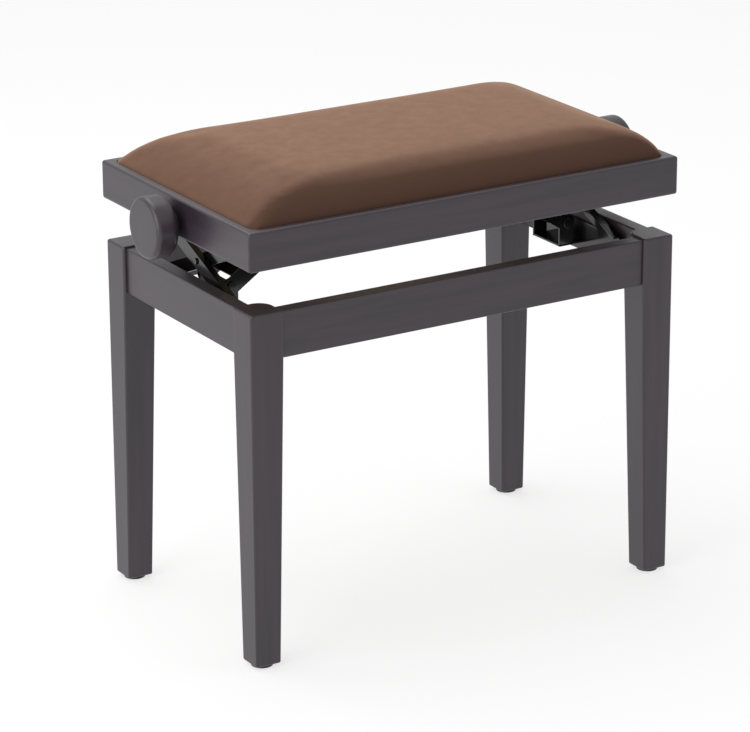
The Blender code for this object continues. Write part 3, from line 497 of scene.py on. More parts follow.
def turned(profile: Sequence[tuple[float, float]], centre: Sequence[float], along: Grain,
           steps: int = 48) -> Shape:
    """Turns a profile about an axis, as on a lathe.

    Args:
        profile: Station along the axis and radius of each corner, from one end to the other.
        centre: A point on the axis; its own station is not used.
        along: The axis.
        steps: Faces round the circle.

    Returns:
        The shape.
    """
    axis = Vector([1.0 if k == along.value else 0.0 for k in range(3)])
    out = Vector([1.0 if k == (along.value + 1) % 3 else 0.0 for k in range(3)])
    base = Vector(centre) - axis * axis.dot(Vector(centre))
    shape = bmesh.new()
    corners = [shape.verts.new(base + axis * station + out * radius) for station, radius in profile]
    edges = [shape.edges.new(pair) for pair in zip(corners, corners[1:])]
    bmesh.ops.spin(shape, geom=corners + edges, cent=base, axis=axis, dvec=(0, 0, 0), angle=math.tau,
                   steps=steps, use_merge=True, use_duplicate=False)
    bmesh.ops.remove_doubles(shape, verts=shape.verts, dist=SEAM)
    return shape


def rings_at(shape: Shape, along: Grain, station: float, radius: float,
             centre: Sequence[float]) -> list[bmesh.types.BMEdge]:
    """Finds the edges of the circles at a station and radius of a turned shape.

    Args:
        shape: The shape.
        along: Its axis.
        station: Where along the axis.
        radius: Their radius.
        centre: A point on the axis.

    Returns:
        The edges.
    """
    def on_ring(vert: bmesh.types.BMVert) -> bool:
        """Says whether a vertex lies on such a circle.

        Args:
            vert: The vertex.

        Returns:
            Whether it does.
        """
        off = vert.co - Vector(centre)
        off[along.value] = 0.0
        return abs(vert.co[along.value] - station) < 2 * TOUCH and abs(off.length - radius) < 2 * TOUCH

    return [edge for edge in shape.edges if all(on_ring(vert) for vert in edge.verts)]


def join(shape: Shape, other: Shape) -> Shape:
    """Adds another shape to this one.

    Args:
        shape: The shape that grows.
        other: The shape that is added; it is freed.

    Returns:
        The first shape.
    """
    carrier = bpy.data.meshes.new("carrier")
    other.to_mesh(carrier)
    other.free()
    shape.from_mesh(carrier)
    bpy.data.meshes.remove(carrier)
    return shape


def mirrored_points(points: Sequence[tuple[float, float]], sign: int) -> list[tuple[float, float]]:
    """Gives a profile with its stations on this side."""
    return [(sign * station, radius) for station, radius in points]


def pierced_plate(outline: Sequence[Sequence[float]], radii: Sequence[float], holes: Sequence[tuple],
                  thickness: Sequence[float], edge: float) -> Shape:
    """Builds a flat plate with a round-cornered outline and holes.

    Args:
        outline: Corners of the plate, all in one plane.
        radii: Rounding of each corner.
        holes: For each hole its corner points and its corner rounding.
        thickness: The step from one face to the other.
        edge: Rounding of the plate's rims.

    Returns:
        The shape.
    """
    shape = bmesh.new()
    sheet_face(shape, outline, radii, 10)
    for points, radius in holes:
        sheet_face(shape, points, [radius] * len(points), 8)
    bmesh.ops.delete(shape, geom=list(shape.faces), context="FACES_ONLY")
    normal = Vector(thickness).normalized()
    bmesh.ops.triangle_fill(shape, use_beauty=True, use_dissolve=False, edges=list(shape.edges),
                            normal=normal)
    draw_out(shape, list(shape.faces), thickness)
    bmesh.ops.recalc_face_normals(shape, faces=shape.faces)
    rims = [item for item in shape.edges if len(item.link_faces) == 2 and item.calc_face_angle() > RIM_ANGLE]
    ease(shape, rims, edge, 2)
    return shape


def body_of(node: str) -> str:
    """Names the body that a CAD node belongs to."""
    groups = FRAME["record"]["behaviour"]["bodies"]
    return next(body for body, members in groups.items() if node in members)


def joint_place(name: str) -> Vector:
    """Finds where a hinge's axis passes."""
    return Vector(next(joint for joint in FRAME["joints"] if joint["name"] == name)["pos_m"])


def middle(node: str) -> Vector:
    """Finds the middle of a CAD node's box."""
    low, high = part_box(node)
    return (low + high) / 2


def finish_piece(name: str, shape: Shape, finish: bpy.types.Material,
                 nodes: Sequence[str], sharp: float = 35.0) -> bpy.types.Object:
    """Turns a shape into a piece that stands for CAD nodes and rides on their body.

    Args:
        name: The piece's name.
        shape: Its shape, in place; it is freed.
        finish: Its material.
        nodes: The CAD nodes that it stands for.
        sharp: Edges over this angle in degrees stay sharp.

    Returns:
        The piece.
    """
    bmesh.ops.remove_doubles(shape, verts=shape.verts, dist=DOUBLE)
    bmesh.ops.recalc_face_normals(shape, faces=shape.faces)
    mesh = bpy.data.meshes.new(name)
    shape.to_mesh(mesh)
    shape.free()
    mesh.materials.append(finish)
    mesh.shade_smooth()
    mesh.set_sharp_from_angle(angle=math.radians(sharp))
    piece = bpy.data.objects.new(name, mesh)
    bpy.context.scene.collection.objects.link(piece)
    flats = piece.modifiers.new("flat_faces", "WEIGHTED_NORMAL")
    flats.keep_sharp = True
    flats.weight = 100
    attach(piece, body_of(nodes[0]))
    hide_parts(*nodes)
    log.info("%s: %d faces, on %s", name, len(mesh.polygons), body_of(nodes[0]))
    return piece


# ---------------------------------------------------------------- leg frame


@dataclass
class LegFrame:
    """Four tapered legs, the aprons between them and the glides under them."""

    workshop: Workshop
    foot: float = 31 * MM           # width of the square at the floor
    edge: float = 3 * MM
    top_edge: float = 2.7 * MM
    foot_edge: float = 2.6 * MM
    lobe: float = 18 * MM           # rounding of the inner corner beside the aprons
    lobe_end: float = 3 * MM        # and below them
    blend: float = 10 * MM          # height over which the one becomes the other
    apron_edge: float = 1.6 * MM
    glide_edge: float = 0.9 * MM
    glide_stem: float = 2 * MM

    def leg(self, name: str) -> None:
        """Builds one leg: square, tapered on its two inner faces, its inner corner rounded at the top.

        Args:
            name: Its end and side.
        """
        low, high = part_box(f"leg_{name}")
        out = Vector((low.x if low.x < 0 else high.x, low.y if low.y < 0 else high.y, 0))
        far = Vector((high.x if low.x < 0 else low.x, high.y if low.y < 0 else low.y, 0))
        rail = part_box("apron_front")[0].z
        shape = bmesh.new()
        points = [(low.x, low.y), (high.x, low.y), (high.x, high.y), (low.x, high.y)]
        radii = [self.lobe if (x, y) == (far.x, far.y) else self.edge for x, y in points]
        top = sheet_face(shape, [(x, y, high.z) for x, y in points], radii, 10)
        draw_out(shape, [top], (0, 0, rail + self.blend - high.z))
        for step, size in ((-self.blend, self.lobe_end / self.lobe), (low.z - rail, None)):
            level = min(vert.co.z for vert in shape.verts)
            end = [face for face in shape.faces if at_level(face, level)]
            # The end that is drawn out stays behind, as a hidden section inside the leg.
            moved = draw_out(shape, end, (0, 0, step))
            if size:
                lobe = [vert for vert in moved if (vert.co.xy - far.xy).length < self.lobe + TOUCH]
                bmesh.ops.scale(shape, vec=(size, size, 1), space=Matrix.Translation(-far), verts=lobe)
            else:
                taper = self.foot / (high.x - low.x)
                bmesh.ops.scale(shape, vec=(taper, taper, 1), space=Matrix.Translation(-out), verts=moved)
        for level, radius in ((high.z, self.top_edge), (low.z, self.foot_edge)):
            rim = [edge for edge in shape.edges if at_level(edge, level)]
            ease(shape, rim, radius, 4)
        finish_piece(f"{name}_leg", shape, self.workshop.beech[Grain.UPRIGHT], [f"leg_{name}"])

    def apron(self, name: str, lengthwise: bool) -> None:
        """Builds one apron rail from leg to leg.

        Args:
            name: Its end or side.
            lengthwise: Whether it runs along the bench.
        """
        low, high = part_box(f"apron_{name}")
        axis = 0 if lengthwise else 1
        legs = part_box("leg_front_left")[1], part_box("leg_back_right")[0]
        low[axis], high[axis] = legs[0][axis], legs[1][axis]
        shape = block(low, high)
        most = (high[axis] - low[axis]) / 2
        long_edges = [edge for edge in shape.edges
                      if abs(edge.verts[0].co[axis] - edge.verts[1].co[axis]) > most]
        ease(shape, long_edges, self.apron_edge, 4)
        way = Grain.LENGTHWISE if lengthwise else Grain.CROSSWISE
        finish_piece(f"{name}_apron", shape, self.workshop.beech[way], [f"apron_{name}"])

    def glide(self, name: str) -> None:
        """Builds one round nylon glide, its stem in the foot.

        Args:
            name: Its end and side.
        """
        low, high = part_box(f"glide_{name}")
        centre = (low + high) / 2
        radius = (high.x - low.x) / 2
        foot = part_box(f"leg_{name}")[0].z
        profile = [(low.z, 0), (low.z, radius), (foot, radius), (foot, self.glide_stem),
                   (high.z, self.glide_stem), (high.z, 0)]
        shape = turned(profile, centre, Grain.UPRIGHT)
        ease(shape, rings_at(shape, Grain.UPRIGHT, low.z, radius, centre), self.glide_edge, 4)
        finish_piece(f"{name}_glide", shape, self.workshop.nylon, [f"glide_{name}"])

    def build(self) -> None:
        """Builds every piece of the leg frame."""
        for end, _ in ENDS:
            for side, _ in SIDES:
                self.leg(f"{end}_{side}")
                self.glide(f"{end}_{side}")
            self.apron(end, True)
        for side, _ in SIDES:
            self.apron(side, False)


# ---------------------------------------------------------------- seat frame


@dataclass
class SeatFrame:
    """Four mitred rails with a rabbet for the seat board, and what shows under it."""

    workshop: Workshop
    edge: float = 3.2 * MM
    thickness: float = 20 * MM
    border: float = 9 * MM          # what the cushion leaves bare
    corner: float = 14 * MM
    inner_corner: float = 1 * MM
    gap: float = 0.3 * MM           # under the cushion's cover
    joint: float = 0.04 * MM        # half the hairline at a mitre
    sliver: float = 0.0005 * MM     # what the saw at a mitre doesn't see

    def ring(self) -> Shape:
        """Builds the whole frame in one, before its mitres are cut.

        Returns:
            The shape.
        """
        low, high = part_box("seat_rail_front")[0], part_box("seat_rail_back")[1]
        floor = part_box("velvet_cover")[0].z - self.gap
        shape = eased_block(low, high, self.edge, 6)
        for level in (low.z, high.z):
            flat = [face for face in shape.faces if at_level(face, level)]
            bmesh.ops.delete(shape, geom=flat, context="FACES_ONLY")
        self.tube(shape, low, high, self.border, self.corner, (high.z, floor))
        self.tube(shape, low, high, self.thickness, self.inner_corner, (floor, low.z))
        for level in (high.z, floor, low.z):
            rims = [edge for edge in shape.edges if len(edge.link_faces) == 1 and at_level(edge, level)]
            bmesh.ops.triangle_fill(shape, use_beauty=True, use_dissolve=False, edges=rims,
                                    normal=(0, 0, 1))
        bmesh.ops.recalc_face_normals(shape, faces=shape.faces)
        return shape

    def tube(self, shape: Shape, low: Vector, high: Vector, inset: float, radius: float,
             levels: tuple[float, float]) -> None:
        """Adds the upright wall of an opening.

        Args:
            shape: Where it goes.
            low: Lowest corner of the seat frame.
            high: Highest corner of the seat frame.
            inset: How far inside the frame's faces it stands.
            radius: Rounding of its corners.
            levels: Its upper and lower edge.
        """
        xs, ys = (low.x + inset, high.x - inset), (low.y + inset, high.y - inset)
        corners = [(xs[0], ys[0], levels[0]), (xs[1], ys[0], levels[0]),
                   (xs[1], ys[1], levels[0]), (xs[0], ys[1], levels[0])]
        wall = bmesh.new()
        sheet_face(wall, corners, [radius] * 4, 10)
        bmesh.ops.delete(wall, geom=list(wall.faces), context="FACES_ONLY")
        made = bmesh.ops.extrude_edge_only(wall, edges=list(wall.edges))["geom"]
        moved = [item for item in made if isinstance(item, bmesh.types.BMVert)]
        bmesh.ops.translate(wall, vec=(0, 0, levels[1] - levels[0]), verts=moved)
        join(shape, wall)

    def rail(self, whole: Shape, name: str, lengthwise: bool, sign: int) -> None:
        """Cuts one rail out of the whole frame along its two mitres.

        Args:
            whole: The frame; it is left as it is.
            name: The rail's end or side.
            lengthwise: Whether it runs along the bench.
            sign: Which way it lies from the middle.
        """
        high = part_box("seat_rail_back")[1]
        shape = whole.copy()
        for end in (-1, 1):
            corner = Vector((end * high.x, sign * high.y, 0)) if lengthwise else \
                Vector((sign * high.x, end * high.y, 0))
            towards = Vector((-end, sign, 0)) if lengthwise else Vector((sign, -end, 0))
            keep = towards.normalized()
            bmesh.ops.bisect_plane(shape, geom=list(shape.verts) + list(shape.edges) + list(shape.faces),
                                   dist=self.sliver, plane_co=corner + keep * self.joint, plane_no=keep,
                                   clear_inner=True, clear_outer=False)
            rim = [edge for edge in shape.edges if edge.is_boundary]
            bmesh.ops.holes_fill(shape, edges=rim, sides=0)
        way = Grain.LENGTHWISE if lengthwise else Grain.CROSSWISE
        finish_piece(f"{name}_seat_rail", shape, self.workshop.beech[way], [f"seat_rail_{name}"])

    def build(self) -> None:
        """Builds the rails and dresses the board and the corner blocks."""
        whole = self.ring()
        for name, sign in ENDS:
            self.rail(whole, name, True, sign)
        for name, sign in SIDES:
            self.rail(whole, name, False, sign)
        whole.free()
        dress("seat_board", self.workshop.plywood)
        for end, _ in ENDS:
            for side, _ in SIDES:
                dress(f"corner_block_{end}_{side}", self.workshop.pine)


def dress(node: str, finish: bpy.types.Material) -> None:
    """Gives a CAD node that is kept its material.

    Args:
        node: The CAD node.
        finish: Its material.
    """
    FRAME["nodes"][node].data.materials.clear()
    FRAME["nodes"][node].data.materials.append(finish)
    log.info("%s: kept, %s", node, finish.name)


# ---------------------------------------------------------------- cushion


@dataclass
class Cushion:
    """Drop-in cushion: foam under velvet, crowned, its sides rolling down to the frame."""

    workshop: Workshop
    tuck: float = 4 * MM            # how far the cover goes down inside the frame
    voxel: float = 5 * MM
    pressure: float = 2.0
    stiffness: float = 15.0
    bending: float = 4.0
    frames: int = 20
    cap: float = 2.5 * MM
    strokes: int = 14               # how many times the cover is smoothed by hand
    held_rise: float = 2 * MM       # the cover is tacked below this, above the frame
    free_rise: float = 3 * MM       # and smoothed above this
    right_share: float = 0.1        # how much of the left end's longer slope the right end has
    # Inset at the left end, inset at the front and back, corner radius and rise of the foam, in mm.
    levels: tuple[tuple[float, ...], ...] = (
        (0.4, 0.4, 11, 0.0), (6, 1.4, 12, 6.5), (14, 4.4, 13, 13.5), (25, 9.5, 16, 20.5),
        (37, 16.0, 20, 26.8), (48, 25, 26, 31.6), (59, 38, 34, 34.0), (71, 60, 40, 35.1),
        (90, 85, 40, 35.5), (110, 115, 34, 35.7))

    def foam(self, low: Vector, high: Vector, frame_top: float) -> Shape:
        """Builds the cut foam as a stack of rounded levels.

        Args:
            low: Lowest corner of the cover.
            high: Highest corner of the cover.
            frame_top: Height of the seat frame's top.

        Returns:
            The shape.
        """
        shape = bmesh.new()
        below = []
        for across, deep, radius, rise in (self.levels[0][:3] + (-self.tuck / MM,), *self.levels):
            right = deep + (across - deep) * self.right_share
            xs, ys = (low.x + across * MM, high.x - right * MM), (low.y + deep * MM, high.y - deep * MM)
            level = frame_top + rise * MM
            corners = [(xs[0], ys[0], level), (xs[1], ys[0], level), (xs[1], ys[1], level),
                       (xs[0], ys[1], level)]
            sheet_face(shape, corners, [radius * MM] * 4, 8)
            rim = [edge for edge in shape.edges if at_level(edge, level)]
            if below:
                if rise < self.levels[-1][3]:
                    lids = {face for edge in rim for face in edge.link_faces}
                    bmesh.ops.delete(shape, geom=list(lids), context="FACES_ONLY")
                bmesh.ops.bridge_loops(shape, edges=below + rim)
            below = rim
        bmesh.ops.recalc_face_normals(shape, faces=shape.faces)
        return shape

    def swell(self, shape: Shape, frame_top: float) -> bpy.types.Mesh:
        """Remeshes the foam and lets the cover swell on it as simulated cloth.

        Args:
            shape: The cut foam; it is freed.
            frame_top: Height under which the cover is held.

        Returns:
            The swollen mesh.
        """
        scene = bpy.context.scene
        mesh = bpy.data.meshes.new("cushion_blank")
        shape.to_mesh(mesh)
        shape.free()
        blank = bpy.data.objects.new("cushion_blank", mesh)
        scene.collection.objects.link(blank)
        grid = blank.modifiers.new("voxels", "REMESH")
        grid.mode = "VOXEL"
        grid.voxel_size = self.voxel
        blank.data = self.baked(blank)
        blank.modifiers.clear()
        before = [vert.co.copy() for vert in blank.data.vertices]
        held = blank.vertex_groups.new(name="held")
        held.add([k for k, co in enumerate(before) if co.z < frame_top + self.held_rise], 1.0, "REPLACE")
        cloth = blank.modifiers.new("cover", "CLOTH")
        cloth.settings.quality = 6
        cloth.settings.mass = 0.3
        cloth.settings.tension_stiffness = self.stiffness
        cloth.settings.compression_stiffness = self.stiffness
        cloth.settings.bending_stiffness = self.bending
        cloth.settings.use_pressure = True
        cloth.settings.uniform_pressure_force = self.pressure
        cloth.settings.effector_weights.gravity = 0
        cloth.settings.vertex_group_mass = "held"
        cloth.collision_settings.use_collision = False
        for frame in range(1, self.frames + 1):
            scene.frame_set(frame)
        swollen = self.baked(blank)
        scene.frame_set(1)
        for vert, start in zip(swollen.vertices, before):
            step = vert.co - start
            if step.length > self.cap:
                vert.co = start + step.normalized() * self.cap
        blank.modifiers.clear()
        blank.data = swollen
        return self.taken(blank)

    def baked(self, item: bpy.types.Object) -> bpy.types.Mesh:
        """Gives a mesh with the object's modifiers applied.

        Args:
            item: The object; it is left as it is.

        Returns:
            The new mesh.
        """
        graph = bpy.context.evaluated_depsgraph_get()
        graph.update()
        return bpy.data.meshes.new_from_object(item.evaluated_get(graph))

    def taken(self, item: bpy.types.Object) -> bpy.types.Mesh:
        """Removes an object and gives its mesh.

        Args:
            item: The object.

        Returns:
            Its mesh.
        """
        mesh = item.data
        bpy.data.objects.remove(item)
        return mesh

    def build(self) -> None:
        low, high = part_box("velvet_cover")
        frame_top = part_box("seat_rail_front")[1].z
        mesh = self.swell(self.foam(low, high, frame_top), frame_top)
        shape = bmesh.new()
        shape.from_mesh(mesh)
        free = [vert for vert in shape.verts if vert.co.z > frame_top + self.free_rise]
        for _ in range(self.strokes):
            bmesh.ops.smooth_vert(shape, verts=free, factor=0.5, use_axis_x=True, use_axis_y=True,
                                  use_axis_z=True)
        crown = max(vert.co.z for vert in free)
        size = (high.z - frame_top) / (crown - frame_top)
        risen = [vert for vert in shape.verts if vert.co.z > frame_top]
        bmesh.ops.scale(shape, vec=(1, 1, size), space=Matrix.Translation((0, 0, -frame_top)),
                        verts=risen)
        piece = finish_piece("velvet_cushion", shape, self.workshop.velvet,
                             ["velvet_cover", "foam_pad"], sharp=180)
        piece.modifiers.clear()
        finer = piece.modifiers.new("finer", "SUBSURF")
        finer.levels = 1
        finer.render_levels = 1


# ---------------------------------------------------------------- spindle and knobs


@dataclass
class SpindleGroup:
    """The lift spindle with its threads, its two knobs and collars, and the bushes it turns in."""

    workshop: Workshop
    core: float = 6.1 * MM          # radius at the bottom of the thread
    crest: float = 7 * MM           # and at its top
    lead: float = 5 * MM            # travel in one turn
    thread_start: float = 62 * MM
    thread_end: float = 172 * MM
    neck: float = 19 * MM
    neck_length: float = 5.2 * MM
    rim: float = 5.2 * MM
    shoulder: float = 11 * MM       # how far the rounded shoulder reaches along the axis
    back_flat: float = 0.6 * MM     # flat ring between the shoulder and the neck
    neck_edge: float = 0.5 * MM
    ring_edge: float = 0.6 * MM
    chamfer: float = 1 * MM
    relief: float = 2 * MM          # slope from the full rod down to the thread's core
    root_half: float = 1.6 * MM     # half widths of the thread's ridge at its root and crest
    crest_half: float = 0.9 * MM
    root_sink: float = 0.2 * MM
    thread_steps: int = 28
    grub_radius: float = 2.4 * MM
    grub_length: float = 2 * MM
    grub_proud: float = 0.3 * MM
    socket_wall: float = 0.9 * MM
    socket_depth: float = 1 * MM
    collar_play: float = 0.1 * MM
    bush_play: float = 0.15 * MM
    bush_wall: float = 3 * MM
    bush_flange: float = 2 * MM

    def knob(self, side: str, sign: int) -> None:
        """Builds one turned knob: a flat outer face, a rounded rim and a body that rolls to its neck.

        Args:
            side: Its side.
            sign: Which way that lies.
        """
        low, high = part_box(f"knob_{side}")
        centre = (low + high) / 2
        inner, outer = (high.x, low.x) if sign < 0 else (low.x, high.x)
        radius = (high.z - low.z) / 2
        back = inner + sign * self.neck_length
        profile = [(inner, 0), (inner, self.neck), (back, self.neck), (back, radius), (outer, radius),
                   (outer, 0)]
        shape = turned(profile, centre, Grain.LENGTHWISE, steps=96)
        reach = radius - self.neck - self.back_flat
        ease(shape, rings_at(shape, Grain.LENGTHWISE, back, radius, centre), reach, 14)
        rolled = [vert for vert in shape.verts if abs(vert.co.x - back) < reach + TOUCH]
        bmesh.ops.scale(shape, vec=(self.shoulder / reach, 1, 1), space=Matrix.Translation((-back, 0, 0)),
                        verts=rolled)
        ease(shape, rings_at(shape, Grain.LENGTHWISE, outer, radius, centre), self.rim, 8)
        ease(shape, rings_at(shape, Grain.LENGTHWISE, inner, self.neck, centre), self.neck_edge, 3)
        finish_piece(f"{side}_knob", shape, self.workshop.beech[Grain.UPRIGHT],
                     [f"knob_{side}"], sharp=50)

    def thread(self, sign: int, height: float) -> Shape:
        """Builds the trapezoidal thread of one half, left-handed on one and right-handed on the other.

        Args:
            sign: Which half.
            height: Height of the axis.

        Returns:
            The shape.
        """
        steps = self.thread_steps
        turns = int((self.thread_end - self.thread_start) / self.lead)
        shape = bmesh.new()
        root = self.core - self.root_sink
        section = ((-self.root_half, root), (-self.crest_half, self.crest), (self.crest_half, self.crest),
                   (self.root_half, root))
        ridge = shape.faces.new([shape.verts.new((sign * (self.thread_start + along), 0, height + radius))
                                 for along, radius in section])
        bmesh.ops.spin(shape, geom=[ridge, *ridge.edges, *ridge.verts], cent=(0, 0, height), axis=(1, 0, 0),
                       dvec=(sign * self.lead / steps, 0, 0), angle=math.tau * turns, steps=steps * turns,
                       use_merge=False, use_duplicate=False)
        return shape

    def spindle(self) -> None:
        """Builds the spindle from knob to knob."""
        low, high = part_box("spindle")
        centre = (low + high) / 2
        half = [(0.0, self.crest), (self.thread_start - 2 * self.relief, self.crest),
                (self.thread_start - self.relief, self.core), (self.thread_end, self.core),
                (self.thread_end + self.relief, self.crest), (high.x - self.chamfer, self.crest),
                (high.x, self.crest - self.chamfer), (high.x, 0)]
        profile = mirrored_points(half[::-1], -1) + half[1:]
        shape = turned(profile, centre, Grain.LENGTHWISE, steps=40)
        for _, sign in SIDES:
            join(shape, self.thread(sign, centre.z))
        finish_piece("threaded_spindle", shape, self.workshop.oiled_steel, ["spindle"])

    def ring_piece(self, node: str, name: str, bore: float, finish: bpy.types.Material,
                   flange: tuple[float, float] | None = None) -> None:
        """Builds a turned ring round the spindle.

        Args:
            node: The CAD node that it stands for.
            name: The piece's name.
            bore: Radius of its hole.
            finish: Its material.
            flange: For a flanged bush, the flange's thickness and the sleeve's radius.
        """
        low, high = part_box(node)
        centre = (low + high) / 2
        radius = (high.z - low.z) / 2
        sign = -1 if centre.x < 0 else 1
        near, far = sorted((abs(low.x), abs(high.x)))
        if flange:
            corners = [(near, bore), (near, radius), (near + flange[0], radius),
                       (near + flange[0], flange[1]), (far, flange[1]), (far, bore), (near, bore)]
        else:
            corners = [(near, bore), (near, radius), (far, radius), (far, bore), (near, bore)]
        shape = turned(mirrored_points(corners, sign), centre, Grain.LENGTHWISE)
        ease(shape, rings_at(shape, Grain.LENGTHWISE, sign * near, radius, centre), self.ring_edge, 3)
        if not flange:
            ease(shape, rings_at(shape, Grain.LENGTHWISE, sign * far, radius, centre), self.ring_edge, 3)
            join(shape, self.grub_screw(centre, radius))
        finish_piece(name, shape, finish, [node])

    def grub_screw(self, centre: Vector, radius: float) -> Shape:
        """Builds a socket grub screw that stands slightly out of a collar, on its underside.

        Args:
            centre: Middle of the collar.
            radius: Outer radius of the collar.

        Returns:
            The shape.
        """
        shape = bmesh.new()
        bmesh.ops.create_cone(shape, cap_ends=True, cap_tris=False, segments=24,
                              radius1=self.grub_radius, radius2=self.grub_radius, depth=self.grub_length)
        end = min(shape.faces, key=lambda face: face.calc_center_median().z)
        bmesh.ops.inset_region(shape, faces=[end], thickness=self.socket_wall, use_even_offset=True)
        # The end that is drawn in stays behind too, and closes the mouth of the socket.
        draw_out(shape, [end], (0, 0, self.socket_depth))
        bmesh.ops.translate(shape, vec=(centre.x, centre.y, centre.z - radius + self.grub_proud),
                            verts=shape.verts)
        return shape

    def build(self) -> None:
        """Builds every piece of the spindle group."""
        self.spindle()
        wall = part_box("spindle")[1].z - middle("spindle").z
        for side, sign in SIDES:
            self.knob(side, sign)
            self.ring_piece(f"spindle_collar_{side}", f"{side}_stop_collar", wall + self.collar_play,
                            self.workshop.oiled_steel)
            bore = wall + self.bush_play
            self.ring_piece(f"spindle_bush_{side}", f"{side}_bearing_bush", bore, self.workshop.bronze,
                            (self.bush_flange, bore + self.bush_wall))


# ---------------------------------------------------------------- lift linkage


@dataclass
class Linkage:
    """Brackets, crossed arms, struts and travelling nuts of both ends."""

    workshop: Workshop
    plate_edge: float = 0.4 * MM
    arm_height: float = 16 * MM
    arm_thickness: float = 2.4 * MM
    arm_flange: float = 5.6 * MM
    arm_pin: float = 3.5 * MM
    fold_clear: float = 4 * MM      # between a round end and the fold
    head_rim: float = 1.2 * MM      # how far a pin's head reaches past the pin
    head_thickness: float = 1.6 * MM
    head_dome: float = 0.7 * MM
    lower_plate: float = 2.3 * MM
    lower_height: float = 23 * MM
    lower_corner: float = 4 * MM
    lower_play: float = 0.45 * MM   # round a pin in its slot
    shelf: float = 2.4 * MM         # the lower bracket's floor and ears
    ear: float = 9 * MM             # half width of an ear
    ear_corner: float = 8.9 * MM
    upper_height: float = 18.5 * MM
    upper_corner: float = 3 * MM
    upper_play: float = 1.05 * MM
    slot_drop: float = 0.9 * MM     # of the upper slots under the pins
    tab_side: float = 1.6 * MM      # what the tab has beside the bush's flange
    tab_foot: float = 1.5 * MM
    tab_corner: float = 5 * MM
    strut_height: float = 20 * MM
    strut_wall: float = 2.2 * MM
    strut_play: float = 1.1 * MM
    web_inset: float = 1 * MM
    web_end: float = 19 * MM        # how far the web stops short of the nut
    trunnion: float = 4 * MM
    trunnion_edge: float = 0.5 * MM
    shoulder: float = 27.4 * MM     # half width of the nut and reach of the ears
    nut_cap: float = 3 * MM
    nut_cap_radius: float = 6.5 * MM
    nut_edge: float = 1 * MM

    def bar_corners(self, start: Vector, end: Vector, half: float,
                    x: float) -> list[tuple[float, float, float]]:
        """Gives the corners of a bar in an upright plane across the bench.

        Args:
            start: Y and Z of its lower pivot.
            end: Y and Z of its upper pivot.
            half: Half its height, which it also reaches past each pivot.
            x: X of the plane.

        Returns:
            The four corners in order.
        """
        along = (end - start).normalized()
        up = Vector((-along.y, along.x)) if along.x > 0 else Vector((along.y, -along.x))
        points = [start - along * half - up * half, end + along * half - up * half,
                  end + along * half + up * half, start - along * half + up * half]
        return [(x, point.x, point.y) for point in points]

    def arm(self, start: Vector, end: Vector, stations: tuple[float, float], flange: float) -> Shape:
        """Builds a scissor arm: a round-ended bar with a flange folded in along its top edge.

        Args:
            start: Y and Z of its lower pivot.
            end: Y and Z of its upper pivot.
            stations: X of the bar's inner and outer face.
            flange: X of the flange's free edge.

        Returns:
            The shape.
        """
        half = self.arm_height / 2
        corners = self.bar_corners(start, end, half, stations[0])
        shape = pierced_plate(corners, [half * ROUND] * 4, [], (stations[1] - stations[0], 0, 0),
                              self.plate_edge)
        along = (end - start).normalized()
        length = (end - start).length
        clear = half + self.fold_clear
        xs = sorted((flange, (stations[0] + stations[1]) / 2))
        fold = eased_block((xs[0], clear, half - self.arm_thickness), (xs[1], length - clear, half),
                           self.plate_edge, 3)
        angle = math.atan2(along.y, along.x)
        if along.x < 0:
            bmesh.ops.scale(fold, vec=(1, -1, 1), verts=fold.verts)
            angle = math.atan2(-along.y, -along.x)
        turn = Matrix.Translation((0, start.x, start.y)) @ Matrix.Rotation(angle, 4, "X")
        bmesh.ops.transform(fold, matrix=turn, verts=fold.verts)
        join(shape, fold)
        return shape

    def pin(self, stations: tuple[float, float], at: Vector, head: float) -> Shape:
        """Builds a pin across the bench, with a domed head beyond its first station.

        Args:
            stations: X of the head's underside and of the pin's far end.
            at: Y and Z of its axis.
            head: Radius of the head.

        Returns:
            The shape.
        """
        under, end = stations
        top = under + (-1 if end > under else 1) * self.head_thickness
        axis = (0, at.x, at.y)
        profile = [(top, 0), (top, head), (under, head), (under, self.arm_pin), (end, self.arm_pin), (end, 0)]
        shape = turned(profile, axis, Grain.LENGTHWISE, steps=32)
        ease(shape, rings_at(shape, Grain.LENGTHWISE, top, head, axis), self.head_dome, 4)
        return shape

    def build_arms(self, side: str, sign: int) -> None:
        """Builds the crossed arms of one end with their pins.

        Args:
            side: The end's side.
            sign: Which way that lies.
        """
        outer_at = joint_place(f"arm_pivot_{side}")
        inner_at = joint_place(f"scissor_pivot_{side}")
        low_front = Vector((outer_at.y, outer_at.z))
        centre = Vector((inner_at.y, inner_at.z))
        high_back = centre * 2 - low_front
        low_back, high_front = Vector((-low_front.x, low_front.y)), Vector((-high_back.x, high_back.y))
        reach = sign * max(abs(corner.x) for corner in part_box(f"arm_outer_{side}"))
        for name, x, start, end, pinned in (
                ("outer", outer_at.x, low_front, high_back, (high_back,)),
                ("inner", inner_at.x, low_back, high_front, (low_back, high_front))):
            arm = self.arm(start, end, (x, x + sign * self.arm_thickness), x - sign * self.arm_flange)
            for spot in pinned:
                join(arm, self.pin((x, reach), spot, self.arm_pin + self.head_rim))
            finish_piece(f"{side}_{name}_arm", arm, self.workshop.enamel,
                         [f"arm_{name}_{side}"], sharp=30)
        for name, node, spot in (("scissor_bolt", f"scissor_bolt_{side}", centre),
                                 ("arm_pin", f"arm_pivot_pin_{side}", low_front)):
            low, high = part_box(node)
            far, near = (low.x, high.x) if sign < 0 else (high.x, low.x)
            pin = self.pin((near + sign * self.head_thickness, far), spot, (high.z - low.z) / 2)
            finish_piece(f"{side}_{name}", pin, self.workshop.enamel, [node])

